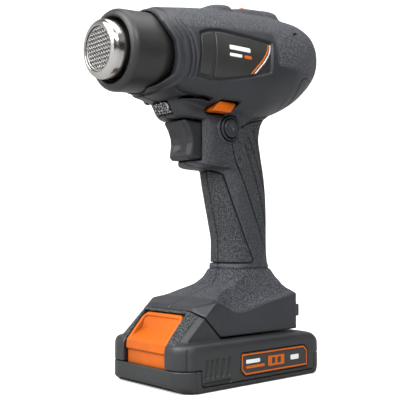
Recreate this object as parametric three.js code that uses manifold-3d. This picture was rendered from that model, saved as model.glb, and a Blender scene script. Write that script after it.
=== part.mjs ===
// A cordless heat gun, built as an assembly of separate solids.
// Millimetres. The nozzle points to -Y, +X is the left flank and +Z is up.
// The housing halves meet on the plane X = 0. The origin is the centre of the battery pack's flat base.

import * as THREE from 'three';
import { mergeVertices } from 'three/addons/utils/BufferGeometryUtils.js';
import Module from 'manifold-3d';

const wasm = await Module();
wasm.setup();

// ---------------------------------------------------------------- driving dimensions

const GAP = 0.3; // between neighbouring pieces
const WALL = 2.6; // housing wall
const FAR = 400; // past every face of the gun

const PACK_WIDTH = 76;
const PACK_LENGTH = 126;
const PACK_CORNER = 12;
const PACK_SEAM_Z = 13.6; // between the pack's lower and upper case
const PACK_TOP_Z = 30;
const CHEEK_BASE_Z = 3.6;
const PACK_FRONT_Y = -PACK_LENGTH / 2;

const BARREL_Z = 202.8; // height of the outlet's front centre
const BARREL_TILT = 4.7; // degrees that the outlet, heater, fan and motor point nose down
const NOZZLE_RADIUS = 17.9; // outside of the steel outlet tube
const NOZZLE_FRONT_Y = -97.6;
const LIP_RADIUS = 4.4; // of the tube's bull nose
const COLLAR_RADIUS = 24.8;
const COLLAR_BORE = 19.9;
const COLLAR_FRONT_Y = -88.2;
const COLLAR_SEAT_Y = -72; // floor of the gap around the outlet tube
const COLLAR_REAR_Y = -57;

// The rear cover closes the barrel's lower rear, behind and below these two seams.
const INTAKE_FRONT_Y = 47;
const INTAKE_TOP_Z = 202;

const THROAT_HALF_WIDTH = 15.5;
const FOOT_HALF_WIDTH = 31.5;
const FOOT_BASE_Z = 30.3;
const FOOT_TOP_Z = 55;
const FOOT_REAR_Y = 42.5;

const TRIGGER_HALF_WIDTH = 11;
const TRIGGER_TOP_Z = 166.6;
const TRIGGER_BASE_Z = 142.4;
const SWITCH_FRONT_Y = -13;
const PLUNGER_Z = 153.5; // height at which the trigger presses the switch

const MOTOR_RADIUS = 13.9;
const MOTOR_FRONT_Y = 13;
const MOTOR_REAR_Y = 50;
const SHAFT_RADIUS = 1.15;

const CELL_RADIUS = 9.25;
const CELL_LENGTH = 65;
const CELL_PITCH = 20.2;
const CELL_Z = 12.6;
const CELL_COUNT = 5;

const LATCH_HALF_WIDTH = 20;
const LABEL_THICKNESS = 0.9;

const LENS_HALF_WIDTH = 8.4;

const RAIL_REAR_Y = 41; // the rail slot in the foot is open at the front and ends here
const RAIL_TOP_Z = 40.9;
const RAIL_HEAD_Z = 34.2;
const RAIL_HEAD_HALF_WIDTH = 22.4;
const RAIL_NECK_HALF_WIDTH = 18.2;

const SLIDER_REST_Y = 20.5;
const SLIDER_TRAVEL = 7;
const SLIDER_FLOOR_Z = 246.3;
const BOARD_Z = 231.8; // underside of the control board

const BOSS_CAP = [-6.2, 161.4]; // place (y, z) of the round boss on each flank
const BOSS_CAP_RADIUS = 7.2;

// The air intake's slots: four, across the underside of the rear cover.
const SLOT = { halfWidth: 15, y: 53, pitch: 5.5, width: 2.8 };

// ---------------------------------------------------------------- outlines and sections

// Barrel sections along Y: [y, half width, bottom z, top z].
const BARREL = [
  [-76, 27.4, 179.6, 231.6],
  [-60, 30.6, 177.8, 234.4],
  [-25, 36.0, 171.0, 240.4],
  [10, 38.0, 166.5, 244.0],
  [36, 37.0, 173.8, 245.8],
  [55, 33.0, 182.0, 246.0],
  [68, 27.8, 190.5, 243.6],
  [77, 22.2, 198.0, 239.2],
  [83, 15.5, 205.5, 232.0],
  [86.4, 7.0, 213.0, 223.0],
];

// The raised ridge along the top, which holds the slider: [y, half width, bottom z, top z].
const RIDGE = [
  [-17, 9, 225, 240.5],
  [-5, 13.5, 225, 247],
  [7, 15, 225, 248.8],
  [33, 15, 225, 249],
  [41, 15.5, 225, 250.4],
  [48, 15, 225, 250.4],
  [54, 12, 225, 246],
];

// Handle sections along Z: [z, half width, front y, rear y].
const HANDLE = [
  [50, 31, -36, 42.5],
  [56, 30, -20, 42.8],
  [61, 26, -6, 42.4],
  [66, 20.4, -2.6, 41],
  [73, 16.6, -1.2, 38.2],
  [88, 16.2, -1.2, 38],
  [102, 16.6, -3.9, 38],
  [116, 16.8, -7.4, 37.6],
  [130, 16.8, -10.6, 36.2],
  [148, 16.6, -13, 32.4],
  [158, 16.6, -13, 30.4],
  [174, 16.6, -13, 34],
];

// Side outline (y, z) of the block that carries the trigger, under the barrel.
const THROAT = [
  [-30, 182], [-30, 166.6], [-27.5, 166.6], [-27.5, 143], [-31, 142.2],
  [-30.4, 140.2], [-20, 138], [-7, 135], [6, 129], [14, 126], [14, 182],
];

// Its nose over the trigger, which carries the work light, along Z: [z, half width, front y, rear y].
const NOSE = [
  [166.6, 15.5, -46.4, -13],
  [176.4, 15.5, -52.4, -13],
  [184, 15.5, -56, -13],
];

// Side outline (y, z) of the foot that sits on the battery pack.
const FOOT = [
  [-27, FOOT_BASE_Z], [-43.3, 46.4], [-41, 49.4], [-29, 53],
  [FOOT_REAR_Y, FOOT_TOP_Z], [FOOT_REAR_Y, FOOT_BASE_Z],
];

// Side outline (y, z) of the pack's front tower, which carries the latch.
const TOWER = [
  [-61.5, 26], [-59.5, 30.5], [-45.4, 46.8], [-43.9, 46.2], [-27.6, 29.8], [-27.6, 26],
];
// Cuts the left front corner of foot and tower.
const FACET = { point: [32, -39.4, 43.5], outward: [0.46, -0.6, 0.65] };

// Side outlines (y, z) of the overmoulded grips, the side badge and the notch in the housing's front edge.
const FRONT_GRIP = [[-30, 131], [-7, 131], [-1, 127], [19, 77], [17, 73.5], [-30, 73.5]];
const REAR_GRIP = [[3, 152], [0, 140], [20, 98], [36, 79], [70, 79], [70, 172], [30, 168], [12, 157]];
const BADGE = [[-34, 190.5], [-34, 219], [-6, 220], [14.5, 216], [2.5, 197.5]];
const LOCK_BUTTON = [[-29.6, 169.8], [-19.5, 178], [-5.6, 178.4], [-11.7, 171]];
const EDGE_NOTCH = [
  [-95, 174], [-76, 178.5], [-64, 184], [-58, 189.6], [-58.5, 198], [-60.5, 208], [-65, 215.4],
  [-69, 221], [-68, 240], [-95, 240],
];
const PACK_SIDE = [[-70, 0], [70, 0], [63, 17], [59, 22.5], [52, 27.5], [43, PACK_TOP_Z], [-70, PACK_TOP_Z]];

// ---------------------------------------------------------------- solids

// A closed geometry as a manifold solid. A profile may run either way round, so the faces are turned out.
function solid(geometry) {
  const bare = geometry.index ? geometry.toNonIndexed() : geometry.clone();
  bare.deleteAttribute('normal');
  bare.deleteAttribute('uv');
  const merged = mergeVertices(bare, 1e-3);
  const triangles = new Uint32Array(merged.index.array);
  const build = () => new wasm.Manifold(new wasm.Mesh({
    numProp: 3,
    vertProperties: merged.attributes.position.array,
    triVerts: triangles,
  }));
  const made = build();
  if (made.volume() > 0) return made;
  for (let i = 0; i < triangles.length; i += 3) {
    [triangles[i + 1], triangles[i + 2]] = [triangles[i + 2], triangles[i + 1]];
  }
  return build();
}

function geometryOf(manifold) {
  const mesh = manifold.getMesh();
  const geometry = new THREE.BufferGeometry();
  geometry.setAttribute('position', new THREE.BufferAttribute(mesh.vertProperties, 3));
  geometry.setIndex(new THREE.BufferAttribute(mesh.triVerts, 1));
  const faceted = geometry.toNonIndexed();
  faceted.computeVertexNormals();
  return faceted;
}

function join(...solids) {
  return solids.reduce((sum, next) => sum.add(next));
}

// A box between two corners.
function box(x0, x1, y0, y1, z0, z1) {
  const geometry = new THREE.BoxGeometry(x1 - x0, y1 - y0, z1 - z0);
  return solid(geometry.translate((x0 + x1) / 2, (y0 + y1) / 2, (z0 + z1) / 2));
}

function symmetricBox(halfWidth, y0, y1, z0, z1) {
  return box(-halfWidth, halfWidth, y0, y1, z0, z1);
}

// Cylinders from one height to another along a row axis. The centre is given by the two other coordinates.
function rodY(radius, y0, y1, x, z, segments = 20) {
  const geometry = new THREE.CylinderGeometry(radius, radius, y1 - y0, segments);
  return solid(geometry.translate(x, (y0 + y1) / 2, z));
}

function rodX(radius, x0, x1, y, z, segments = 16) {
  const geometry = new THREE.CylinderGeometry(radius, radius, x1 - x0, segments).rotateZ(-Math.PI / 2);
  return solid(geometry.translate((x0 + x1) / 2, y, z));
}

function rodZ(radius, z0, z1, x, y, segments = 16) {
  const geometry = new THREE.CylinderGeometry(radius, radius, z1 - z0, segments).rotateX(Math.PI / 2);
  return solid(geometry.translate(x, y, (z0 + z1) / 2));
}

// A profile of [radius, y] points turned about the barrel's axis.
function turned(profile, segments = 20) {
  const points = profile.map(([radius, y]) => new THREE.Vector2(radius, y));
  return solid(new THREE.LatheGeometry([...points, points[0]], segments).translate(0, 0, BARREL_Z));
}

// A side outline of (y, z) points, extruded from x0 to x1.
function sideSlab(outline, x0, x1) {
  const shape = new THREE.Shape(outline.map(([y, z]) => new THREE.Vector2(y, z)));
  const geometry = new THREE.ExtrudeGeometry(shape, { depth: x1 - x0, bevelEnabled: false });
  const toSide = new THREE.Matrix4().set(0, 0, 1, x0, 1, 0, 0, 0, 0, 1, 0, 0, 0, 0, 0, 1);
  return solid(geometry.applyMatrix4(toSide));
}

// A rounded rectangle in plan, extruded from z0 to z1, with chamfered top and bottom edges.
function plate(halfWidth, y0, y1, corner, z0, z1, chamfer = 0) {
  const shape = new THREE.Shape();
  shape.moveTo(halfWidth, y0 + corner);
  shape.lineTo(halfWidth, y1 - corner);
  shape.absarc(halfWidth - corner, y1 - corner, corner, 0, Math.PI / 2);
  shape.absarc(corner - halfWidth, y1 - corner, corner, Math.PI / 2, Math.PI);
  shape.absarc(corner - halfWidth, y0 + corner, corner, Math.PI, 1.5 * Math.PI);
  shape.absarc(halfWidth - corner, y0 + corner, corner, 1.5 * Math.PI, 2 * Math.PI);
  const geometry = new THREE.ExtrudeGeometry(shape, {
    depth: z1 - z0 - 2 * chamfer,
    curveSegments: 5,
    bevelEnabled: chamfer > 0,
    bevelThickness: chamfer,
    bevelSize: chamfer,
    bevelOffset: -chamfer,
    bevelSegments: 1,
  });
  return solid(geometry.translate(0, 0, z0 + chamfer));
}

// A smooth body through superellipse sections [along, half width, low, high], along Y or along Z.
// The inset draws every section in, for the inside of a shell.
function loft(axis, sections, inset, power = 2.2, segments = 20) {
  const rows = sections.length - 1;
  const geometry = new THREE.CylinderGeometry(1, 1, 1, segments, rows);
  const position = geometry.attributes.position;
  const ease = (value) => Math.sign(value) * Math.abs(value) ** (2 / power);
  for (let i = 0; i < position.count; i++) {
    const [along, halfWidth, low, high] = sections[Math.round((position.getY(i) + 0.5) * rows)];
    const onRim = Math.hypot(position.getX(i), position.getZ(i)) > 0.5;
    const across = onRim ? ease(position.getX(i)) * Math.max(halfWidth - inset, 1) : 0;
    const reach = Math.max((high - low) / 2 - inset, 1);
    const other = (low + high) / 2 + (onRim ? ease(position.getZ(i)) * reach : 0);
    if (axis === 'y') position.setXYZ(i, across, along, other);
    else position.setXYZ(i, -across, other, along);
  }
  return solid(geometry);
}

// Everything on the inner side of a plane through a point.
function halfSpace(point, outward) {
  const turn = new THREE.Quaternion().setFromUnitVectors(
    new THREE.Vector3(0, 0, 1), new THREE.Vector3(...outward).normalize(),
  );
  const geometry = new THREE.BoxGeometry(2 * FAR, 2 * FAR, FAR).translate(0, 0, -FAR / 2);
  return solid(geometry.applyQuaternion(turn).translate(...point));
}

// Pieces on the outlet's axis are shaped along Y at BARREL_Z, then tipped nose down
// about the outlet's front centre.
function tipped(manifold) {
  return manifold.translate([0, -NOZZLE_FRONT_Y, -BARREL_Z])
    .rotate([BARREL_TILT, 0, 0])
    .translate([0, NOZZLE_FRONT_Y, BARREL_Z]);
}

// A wire of constant radius along a curve.
function wire(curve, radius, steps, sides = 6) {
  const section = new THREE.Shape();
  section.absarc(0, 0, radius, 0, 2 * Math.PI);
  return solid(new THREE.ExtrudeGeometry(section, {
    steps, curveSegments: sides / 2, extrudePath: curve, bevelEnabled: false,
  }));
}

// A helix from y0 to y1 about an axis parallel to Y.
class HelixY extends THREE.Curve {
  constructor(radius, y0, y1, turns, z) {
    super();
    Object.assign(this, { radius, y0, y1, turns, z });
  }

  getPoint(t, target = new THREE.Vector3()) {
    const angle = 2 * Math.PI * this.turns * t;
    const y = this.y0 + (this.y1 - this.y0) * t;
    return target.set(this.radius * Math.cos(angle), y, this.z + this.radius * Math.sin(angle));
  }
}

// ---------------------------------------------------------------- the housing as one body

// The foot and the tower have a facet on each front corner.
function withFacets(manifold, inset = 0) {
  const [x, y, z] = FACET.point;
  const [outwardX, outwardY, outwardZ] = FACET.outward;
  return manifold
    .intersect(halfSpace([x - inset, y, z], FACET.outward))
    .intersect(halfSpace([inset - x, y, z], [-outwardX, outwardY, outwardZ]));
}

// The whole grip-and-barrel form, drawn in by the inset.
function gunForm(inset) {
  const barrel = loft('y', BARREL, inset);
  const ridge = loft('y', RIDGE, inset, 3);
  const handle = loft('z', HANDLE, inset, 2.4);
  const roundFront = rodZ(THROAT_HALF_WIDTH, 0, FAR, 0, -THROAT_HALF_WIDTH, 24)
    .add(box(-FAR, FAR, -THROAT_HALF_WIDTH, FAR, 0, FAR));
  const throat = sideSlab(THROAT, inset - THROAT_HALF_WIDTH, THROAT_HALF_WIDTH - inset)
    .intersect(roundFront)
    .translate([0, inset, inset]);
  const nose = loft('z', NOSE, inset).translate([0, 0, inset]);
  const foot = withFacets(sideSlab(FOOT, inset - FOOT_HALF_WIDTH, FOOT_HALF_WIDTH - inset), inset)
    .translate([0, 1.4 * inset, 0])
    .intersect(box(-FAR, FAR, -FAR, FOOT_REAR_Y - inset, 0, FOOT_TOP_Z - inset));
  return join(barrel, ridge, handle, throat, nose, foot);
}

const outerForm = gunForm(0);
const innerForm = gunForm(WALL);

// The part of the form between two insets, inside a side outline on one flank.
// side is 1 for left, -1 for right.
function inlay(outline, outerInset, innerInset, side) {
  const x0 = side > 0 ? GAP / 2 : -FAR;
  const x1 = side > 0 ? FAR : -GAP / 2;
  return gunForm(outerInset).subtract(gunForm(innerInset)).intersect(sideSlab(outline, x0, x1));
}

// An outline grown or shrunk about its middle, by a distance at its far corners.
function grown(outline, distance) {
  const middle = [0, 1].map((k) => outline.reduce((sum, point) => sum + point[k], 0) / outline.length);
  return outline.map((point) => {
    const away = Math.hypot(point[0] - middle[0], point[1] - middle[1]);
    return point.map((value, k) => middle[k] + (value - middle[k]) * (1 + distance / away));
  });
}

const SCREWS = [ // places (y, z) of the six housing screws
  [-47, 180.5], [60, 226], [40, 182], [4, 121], [30, 84], [-18, 44],
];
const SCREW_HEAD = { radius: 3.1, depth: 2.6 };
const SCREW_SHANK_RADIUS = 1.4;
const BOSS_RADIUS = 3.9;

// The screw's seat on the right flank: as far out as the form reaches there, less a counterbore.
function screwSeatX([y, z]) {
  const probe = rodX(0.5, -FAR, 0, y, z, 6).intersect(outerForm);
  return probe.boundingBox().min[0] + 4.2;
}

// Openings for the collar, the trigger, the lock-off bar, the slider, the lens and the pack's rails.
const openings = join(
  tipped(turned([
    [0, -FAR], [COLLAR_RADIUS + GAP, -FAR],
    [COLLAR_RADIUS + GAP, COLLAR_REAR_Y + GAP], [0, COLLAR_REAR_Y + GAP],
  ])),
  sideSlab(EDGE_NOTCH, -FAR, FAR),
  symmetricBox(TRIGGER_HALF_WIDTH + GAP, -50, -15, TRIGGER_BASE_Z - GAP, TRIGGER_TOP_Z + GAP),
  sideSlab(grown(LOCK_BUTTON, 1), -FAR, FAR),
  box(-6.5, 6.5, SLIDER_REST_Y - 6, SLIDER_REST_Y + SLIDER_TRAVEL + 6, SLIDER_FLOOR_Z, FAR),
  box(-3, 3, SLIDER_REST_Y - 3.2, SLIDER_REST_Y + SLIDER_TRAVEL + 3.2, 240, FAR),
  symmetricBox(LENS_HALF_WIDTH + GAP, -60, -40.2, 165, 176.4),
  symmetricBox(RAIL_HEAD_HALF_WIDTH + GAP, -FAR, RAIL_REAR_Y, RAIL_HEAD_Z - 2 * GAP, RAIL_TOP_Z + 2 * GAP),
  symmetricBox(RAIL_NECK_HALF_WIDTH + GAP, -FAR, RAIL_REAR_Y, 0, RAIL_HEAD_Z),
  box(-FAR, FAR, INTAKE_FRONT_Y, FAR, 0, INTAKE_TOP_Z),
);

function housingHalf(side) {
  const half = side > 0 ? box(0, FAR, -FAR, FAR, 0, FAR) : box(-FAR, 0, -FAR, FAR, 0, FAR);
  const sliderPad = symmetricBox(
    9, SLIDER_REST_Y - 9, SLIDER_REST_Y + SLIDER_TRAVEL + 9, SLIDER_FLOOR_Z - 2.4, FAR,
  );
  const lug = box(-7, 7, FOOT_REAR_Y - 2, FOOT_REAR_Y + 2.4, 38, 46);
  let shell = outerForm.subtract(innerForm).add(sliderPad.intersect(outerForm)).add(lug);
  for (const place of SCREWS) {
    const [y, z] = place;
    const seat = screwSeatX(place);
    shell = shell.add(rodX(BOSS_RADIUS, -FAR, FAR, y, z, 10).intersect(outerForm));
    shell = shell.subtract(rodX(SCREW_SHANK_RADIUS + GAP, seat - 1, 10.5, y, z, 8));
    shell = shell.subtract(rodX(SCREW_HEAD.radius + GAP, -FAR, seat, y, z, 10));
  }
  shell = shell.intersect(half).subtract(openings);
  shell = shell.subtract(inlay(grown(BADGE, GAP), -2, 1.5, side));
  shell = shell.subtract(inlay(grown(FRONT_GRIP, GAP), -2, 1.7, side));
  shell = shell.subtract(inlay(grown(REAR_GRIP, GAP), -2, 1.7, side));
  const capSeat = rodX(BOSS_CAP_RADIUS + GAP, 14.6, FAR, ...BOSS_CAP, 16);
  return shell.subtract(side > 0 ? capSeat : capSeat.mirror([1, 0, 0]));
}

// ---------------------------------------------------------------- pieces on the housing

// An overmoulded grip. The housing screws' heads on the right flank stay clear of it.
function grip(outline, side) {
  return SCREWS.reduce(
    (pad, [y, z]) => pad.subtract(rodX(SCREW_HEAD.radius + 2 * GAP, -FAR, -8, y, z, 10)),
    inlay(outline, 0, 1.4, side),
  );
}

// The cover of the air intake.
function rearCover() {
  const cap = outerForm.subtract(innerForm)
    .intersect(box(-FAR, FAR, INTAKE_FRONT_Y + GAP, FAR, 0, INTAKE_TOP_Z - GAP));
  const slot = (y) => box(-SLOT.halfWidth, SLOT.halfWidth, y, y + SLOT.width, 0, FAR);
  return [0, 1, 2, 3].reduce((cover, k) => cover.subtract(slot(SLOT.y + SLOT.pitch * k)), cap);
}

function frontCollar() {
  return turned([
    [COLLAR_BORE, COLLAR_SEAT_Y], [COLLAR_BORE, COLLAR_FRONT_Y + 0.6], [COLLAR_BORE + 0.5, COLLAR_FRONT_Y],
    [COLLAR_BORE + 2.2, COLLAR_FRONT_Y], [COLLAR_RADIUS - 1, COLLAR_FRONT_Y + 1.8],
    [COLLAR_RADIUS, COLLAR_FRONT_Y + 4.4], [COLLAR_RADIUS, COLLAR_REAR_Y],
    [NOZZLE_RADIUS + GAP, COLLAR_REAR_Y], [NOZZLE_RADIUS + GAP, COLLAR_SEAT_Y],
  ]);
}

function nozzleTube() {
  const lip = [];
  for (let k = 0; k <= 5; k++) {
    const angle = (k / 5) * Math.PI / 2;
    lip.push([
      NOZZLE_RADIUS - LIP_RADIUS * (1 - Math.cos(angle)),
      NOZZLE_FRONT_Y + LIP_RADIUS * (1 - Math.sin(angle)),
    ]);
  }
  const bore = NOZZLE_RADIUS - 0.9;
  return turned([
    [22, -27], [NOZZLE_RADIUS, -27], ...lip,
    [13.5, NOZZLE_FRONT_Y + 0.9], [bore - 0.8, NOZZLE_FRONT_Y + 5], [bore, NOZZLE_FRONT_Y + 7],
    [bore, -26], [22, -26],
  ]);
}

function nozzleGrille() {
  const y0 = NOZZLE_FRONT_Y + 1;
  const rim = turned([[12.2, y0], [13.4, y0], [13.4, y0 + 1], [12.2, y0 + 1]], 16);
  const bars = [-1.5, -0.5, 0.5, 1.5].flatMap((k) => [
    box(5.4 * k - 0.45, 5.4 * k + 0.45, y0 + 0.1, y0 + 0.9, BARREL_Z - 12.6, BARREL_Z + 12.6),
    box(-12.6, 12.6, y0 + 0.1, y0 + 0.9, BARREL_Z + 5.4 * k - 0.45, BARREL_Z + 5.4 * k + 0.45),
  ]);
  const disc = rodY(12.8, y0, y0 + 1, 0, BARREL_Z, 16);
  return rim.add(join(...bars).intersect(disc));
}

function heaterTube() {
  return turned([[15.2, -84], [16.5, -84], [16.5, -28], [15.2, -28]], 20);
}

function heaterCross() {
  const vane = box(-9.4, 9.4, -82, -32, BARREL_Z - 0.6, BARREL_Z + 0.6);
  const upright = box(-0.6, 0.6, -82, -32, BARREL_Z - 9.4, BARREL_Z + 9.4);
  return vane.add(upright);
}

function heatingCoil() {
  return wire(new HelixY(11.3, -79, -36, 5, BARREL_Z), 0.9, 50, 4);
}

function thermalCutout() {
  return rodY(2.1, -31, -23.5, 5, BARREL_Z + 5, 10).add(rodY(0.6, -31.8, -22.7, 5, BARREL_Z + 5, 6));
}

// The plastic duct from the fan to the heater. Its flange clamps the outlet tube.
function fanDuct() {
  return turned([
    [17.4, -25.6], [23.5, -25.6], [23.5, -22], [28.4, -6], [28.4, 11],
    [26.4, 11], [26.4, -5], [21, -21], [17.4, -22],
  ]);
}

function fanImpeller() {
  const hub = turned([[SHAFT_RADIUS + 0.25, -3], [6, -3], [7.5, 0], [7.5, 9], [SHAFT_RADIUS + 0.25, 9]], 16);
  const disc = turned([[7, 7.6], [25, 7.6], [25, 9], [7, 9]], 20);
  const blades = [];
  for (let k = 0; k < 9; k++) {
    const blade = new THREE.BoxGeometry(17.6, 8.4, 1.1).rotateY(0.35).translate(16, 3.9, 0);
    blades.push(solid(blade.rotateY((k * 2 * Math.PI) / 9).translate(0, 0, BARREL_Z)));
  }
  return join(hub, disc, ...blades);
}

function motorCan() {
  const bush = SHAFT_RADIUS + 0.35;
  return turned([
    [bush, MOTOR_FRONT_Y], [4.5, MOTOR_FRONT_Y], [4.5, MOTOR_FRONT_Y + 1.8],
    [MOTOR_RADIUS, MOTOR_FRONT_Y + 1.8], [MOTOR_RADIUS, MOTOR_REAR_Y],
    [4.8, MOTOR_REAR_Y], [4.8, MOTOR_REAR_Y + 2], [bush, MOTOR_REAR_Y + 2],
    [bush, MOTOR_REAR_Y - 1.6], [12.4, MOTOR_REAR_Y - 1.6],
    [12.4, MOTOR_FRONT_Y + 3.4], [bush, MOTOR_FRONT_Y + 3.4],
  ], 16);
}

function motorShaft() {
  return rodY(SHAFT_RADIUS, -4, MOTOR_REAR_Y + 3.5, 0, BARREL_Z, 10);
}

function motorArmature() {
  const bore = SHAFT_RADIUS + 0.2;
  return turned([
    [bore, MOTOR_FRONT_Y + 6], [9, MOTOR_FRONT_Y + 6], [11.2, MOTOR_FRONT_Y + 9], [11.2, MOTOR_REAR_Y - 12],
    [5, MOTOR_REAR_Y - 10], [5, MOTOR_REAR_Y - 4], [bore, MOTOR_REAR_Y - 4],
  ], 16);
}

function motorBracket() {
  const ring = turned([[MOTOR_RADIUS + GAP, 22], [17, 22], [17, 27], [MOTOR_RADIUS + GAP, 27]], 24);
  const arms = box(-32.6, 32.6, 22.5, 26.5, BARREL_Z - 5, BARREL_Z)
    .add(box(-2.5, 2.5, 22.5, 26.5, BARREL_Z - 34, BARREL_Z));
  return ring.add(arms.subtract(rodY(15.5, 20, 30, 0, BARREL_Z, 24)));
}

function triggerSwitch() {
  const body = box(-8.5, 8.5, SWITCH_FRONT_Y, 17, 142, 164).add(box(-6, 6, 5, 19, 138, 143));
  return body.subtract(rodY(3, SWITCH_FRONT_Y - 1, SWITCH_FRONT_Y + 13, 0, PLUNGER_Z, 12));
}

function controlBoard() {
  const board = box(-12, 12, 14, 48, BOARD_Z, BOARD_Z + 1.6);
  const heatSink = box(-9, -2, 38, 46, BOARD_Z + 1, BOARD_Z + 7);
  return board.add(heatSink).add(rodZ(3, BOARD_Z + 1, BOARD_Z + 7.6, 6, 42, 10));
}

function modeSwitch() {
  return box(-5, 5, 15, 33, BOARD_Z + 1.9, 237.2);
}

function workLightLens() {
  const outline = [[-52.6, 176.1], [-47, 167], [-40.6, 167], [-40.6, 168.8], [-45.8, 168.8], [-50.6, 176.1]];
  return sideSlab(outline, -LENS_HALF_WIDTH, LENS_HALF_WIDTH);
}

function workLightLed() {
  return box(-2.2, 2.2, -45, -41, 170.4, 174.8);
}

function bossCap(side) {
  const cap = rodX(BOSS_CAP_RADIUS, 15, 17.6, ...BOSS_CAP, 14).subtract(rodX(5.6, 16.6, 20, ...BOSS_CAP, 14))
    .add(rodX(4.8, 15.5, 18.2, ...BOSS_CAP, 14));
  return side > 0 ? cap : cap.mirror([1, 0, 0]);
}

function terminalBlock() {
  return box(-15, 15, 8, 39.5, 31.4, 41.2).subtract(box(-12, 12, 20, 36, 36, 50));
}

function terminalBlade(x) {
  return box(x - 0.5, x + 0.5, -9, 7.7, 33.6, 39.6);
}

// Supply wires from the terminal block up the handle to the trigger switch.
function supplyWire(x) {
  const points = [
    [x, 28, 41.5], [x, 26, 56], [x * 0.6, 22, 80],
    [x * 0.6, 20, 108], [x * 0.4, 13, 130], [x * 0.4, 12, 137.6],
  ];
  const curve = new THREE.CatmullRomCurve3(points.map((point) => new THREE.Vector3(...point)));
  return wire(curve, 1.2, 14, 6);
}

function housingScrew(place) {
  const [y, z] = place;
  const seat = screwSeatX(place);
  const head = rodX(SCREW_HEAD.radius, seat - SCREW_HEAD.depth, seat - GAP / 3, y, z, 10);
  const socket = rodX(1.3, seat - SCREW_HEAD.depth - 1, seat - SCREW_HEAD.depth + 1.4, y, z, 6);
  return head.subtract(socket).add(rodX(SCREW_SHANK_RADIUS, seat - 1, 9.5, y, z, 8));
}

// ---------------------------------------------------------------- controls

function trigger() {
  const side = [
    [-38.4, TRIGGER_TOP_Z], [-34.8, 162], [-33, 157.5], [-32.8, 152], [-34.2, 147], [-34.4, 144.6],
    [-32.4, TRIGGER_BASE_Z], [-22.5, TRIGGER_BASE_Z], [-22.5, TRIGGER_TOP_Z],
  ];
  const finger = sideSlab(side, -TRIGGER_HALF_WIDTH, TRIGGER_HALF_WIDTH);
  return finger.subtract(rodY(3.6, -26, -20, 0, PLUNGER_Z, 12));
}

function triggerPlunger() {
  return rodY(2.5, -25.7, SWITCH_FRONT_Y + 4, 0, PLUNGER_Z, 12);
}

function triggerSpring() {
  return wire(new HelixY(4.6, -21.6, SWITCH_FRONT_Y - 0.9, 3, PLUNGER_Z), 0.45, 27, 4);
}

// The lock-off bar: an orange slanted button at each end, joined by a thin bar across the housing.
function lockOffBar() {
  const ends = box(16, 25, -FAR, FAR, 0, FAR).add(box(-20.5, -16, -FAR, FAR, 0, FAR));
  return sideSlab(LOCK_BUTTON, -FAR, FAR).intersect(ends).add(box(-17, 17, -23, -18, 171.6, 174.2));
}

function modeSlider() {
  const y = SLIDER_REST_Y;
  const knob = box(-5.4, 5.4, y - 3.6, y + 3.6, SLIDER_FLOOR_Z + GAP, 250.4);
  return knob.add(box(-2.6, 2.6, y - 2.6, y + 2.6, 238, SLIDER_FLOOR_Z + 1));
}

// ---------------------------------------------------------------- battery pack

// The upper case reaches down over the lower one on both flanks, as a cheek that carries the label.
function packCheeks(gap) {
  return box(-FAR, gap - 35.6, -38.5 - gap, 52 + gap, CHEEK_BASE_Z - gap, 20)
    .add(box(35.6 - gap, FAR, -38.5 - gap, 52 + gap, CHEEK_BASE_Z - gap, 20));
}

// The pack's plan outline between two heights.
function packPlate(z0, z1, chamfer = 0) {
  return plate(PACK_WIDTH / 2, PACK_FRONT_Y, -PACK_FRONT_Y, PACK_CORNER, z0, z1, chamfer);
}

function packLowerCase() {
  const top = PACK_SEAM_Z - GAP / 2;
  const shell = packPlate(0, top, 1.2).add(packPlate(5, top));
  const hollow = plate(PACK_WIDTH / 2 - 4.6, PACK_FRONT_Y + 2.4, -PACK_FRONT_Y - 2.4, 9, 2, PACK_TOP_Z);
  return shell.subtract(hollow).subtract(packCheeks(GAP));
}

// The slot around the latch, from the pack's seam up through the tower.
function latchWell(clearance) {
  const well = sideSlab(
    [[-70, 12], [-70, 44.9], [-44.1, 44.9], [-44.1, 25], [-47.4, 25], [-55.2, 20.8], [-55.2, 12]], -FAR, FAR,
  );
  const halfWidth = LATCH_HALF_WIDTH + clearance;
  return well.intersect(box(-halfWidth, halfWidth, -FAR, FAR, 0, FAR));
}

function packUpperCase() {
  const side = sideSlab(PACK_SIDE, -FAR, FAR);
  const rim = packPlate(PACK_SEAM_Z + GAP / 2, PACK_TOP_Z, 3.4)
    .add(packPlate(PACK_SEAM_Z + GAP / 2, 22.6))
    .intersect(side);
  const innerSide = side.translate([0, -2.2, -2.2]).add(box(-FAR, FAR, -FAR, 50, 0, 25));
  const hollow = innerSide.intersect(
    plate(PACK_WIDTH / 2 - 2.4, PACK_FRONT_Y + 10.4, -PACK_FRONT_Y - 2.4, 9, 0, PACK_TOP_Z - 2.2),
  );
  const tower = withFacets(sideSlab(TOWER, -FOOT_HALF_WIDTH, FOOT_HALF_WIDTH));
  const railNeck = symmetricBox(RAIL_NECK_HALF_WIDTH, -34, 5.5, 28, RAIL_TOP_Z);
  const railHead = symmetricBox(RAIL_HEAD_HALF_WIDTH, -34, 5.5, RAIL_HEAD_Z, RAIL_TOP_Z);
  const bladeSlot = (x) => box(x - 1.6, x + 1.6, -11, 6, 32.4, 50);
  const cheeks = packPlate(CHEEK_BASE_Z, 20).intersect(packCheeks(0));
  const body = join(rim.subtract(hollow), cheeks, tower, railNeck, railHead);
  const slotted = body.subtract(bladeSlot(-9)).subtract(bladeSlot(9)).subtract(latchWell(0.4));
  const labelSeat = labelPlate(LABEL_THICKNESS + GAP, GAP);
  return slotted.subtract(labelSeat).subtract(labelSeat.mirror([1, 0, 0]));
}

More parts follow.
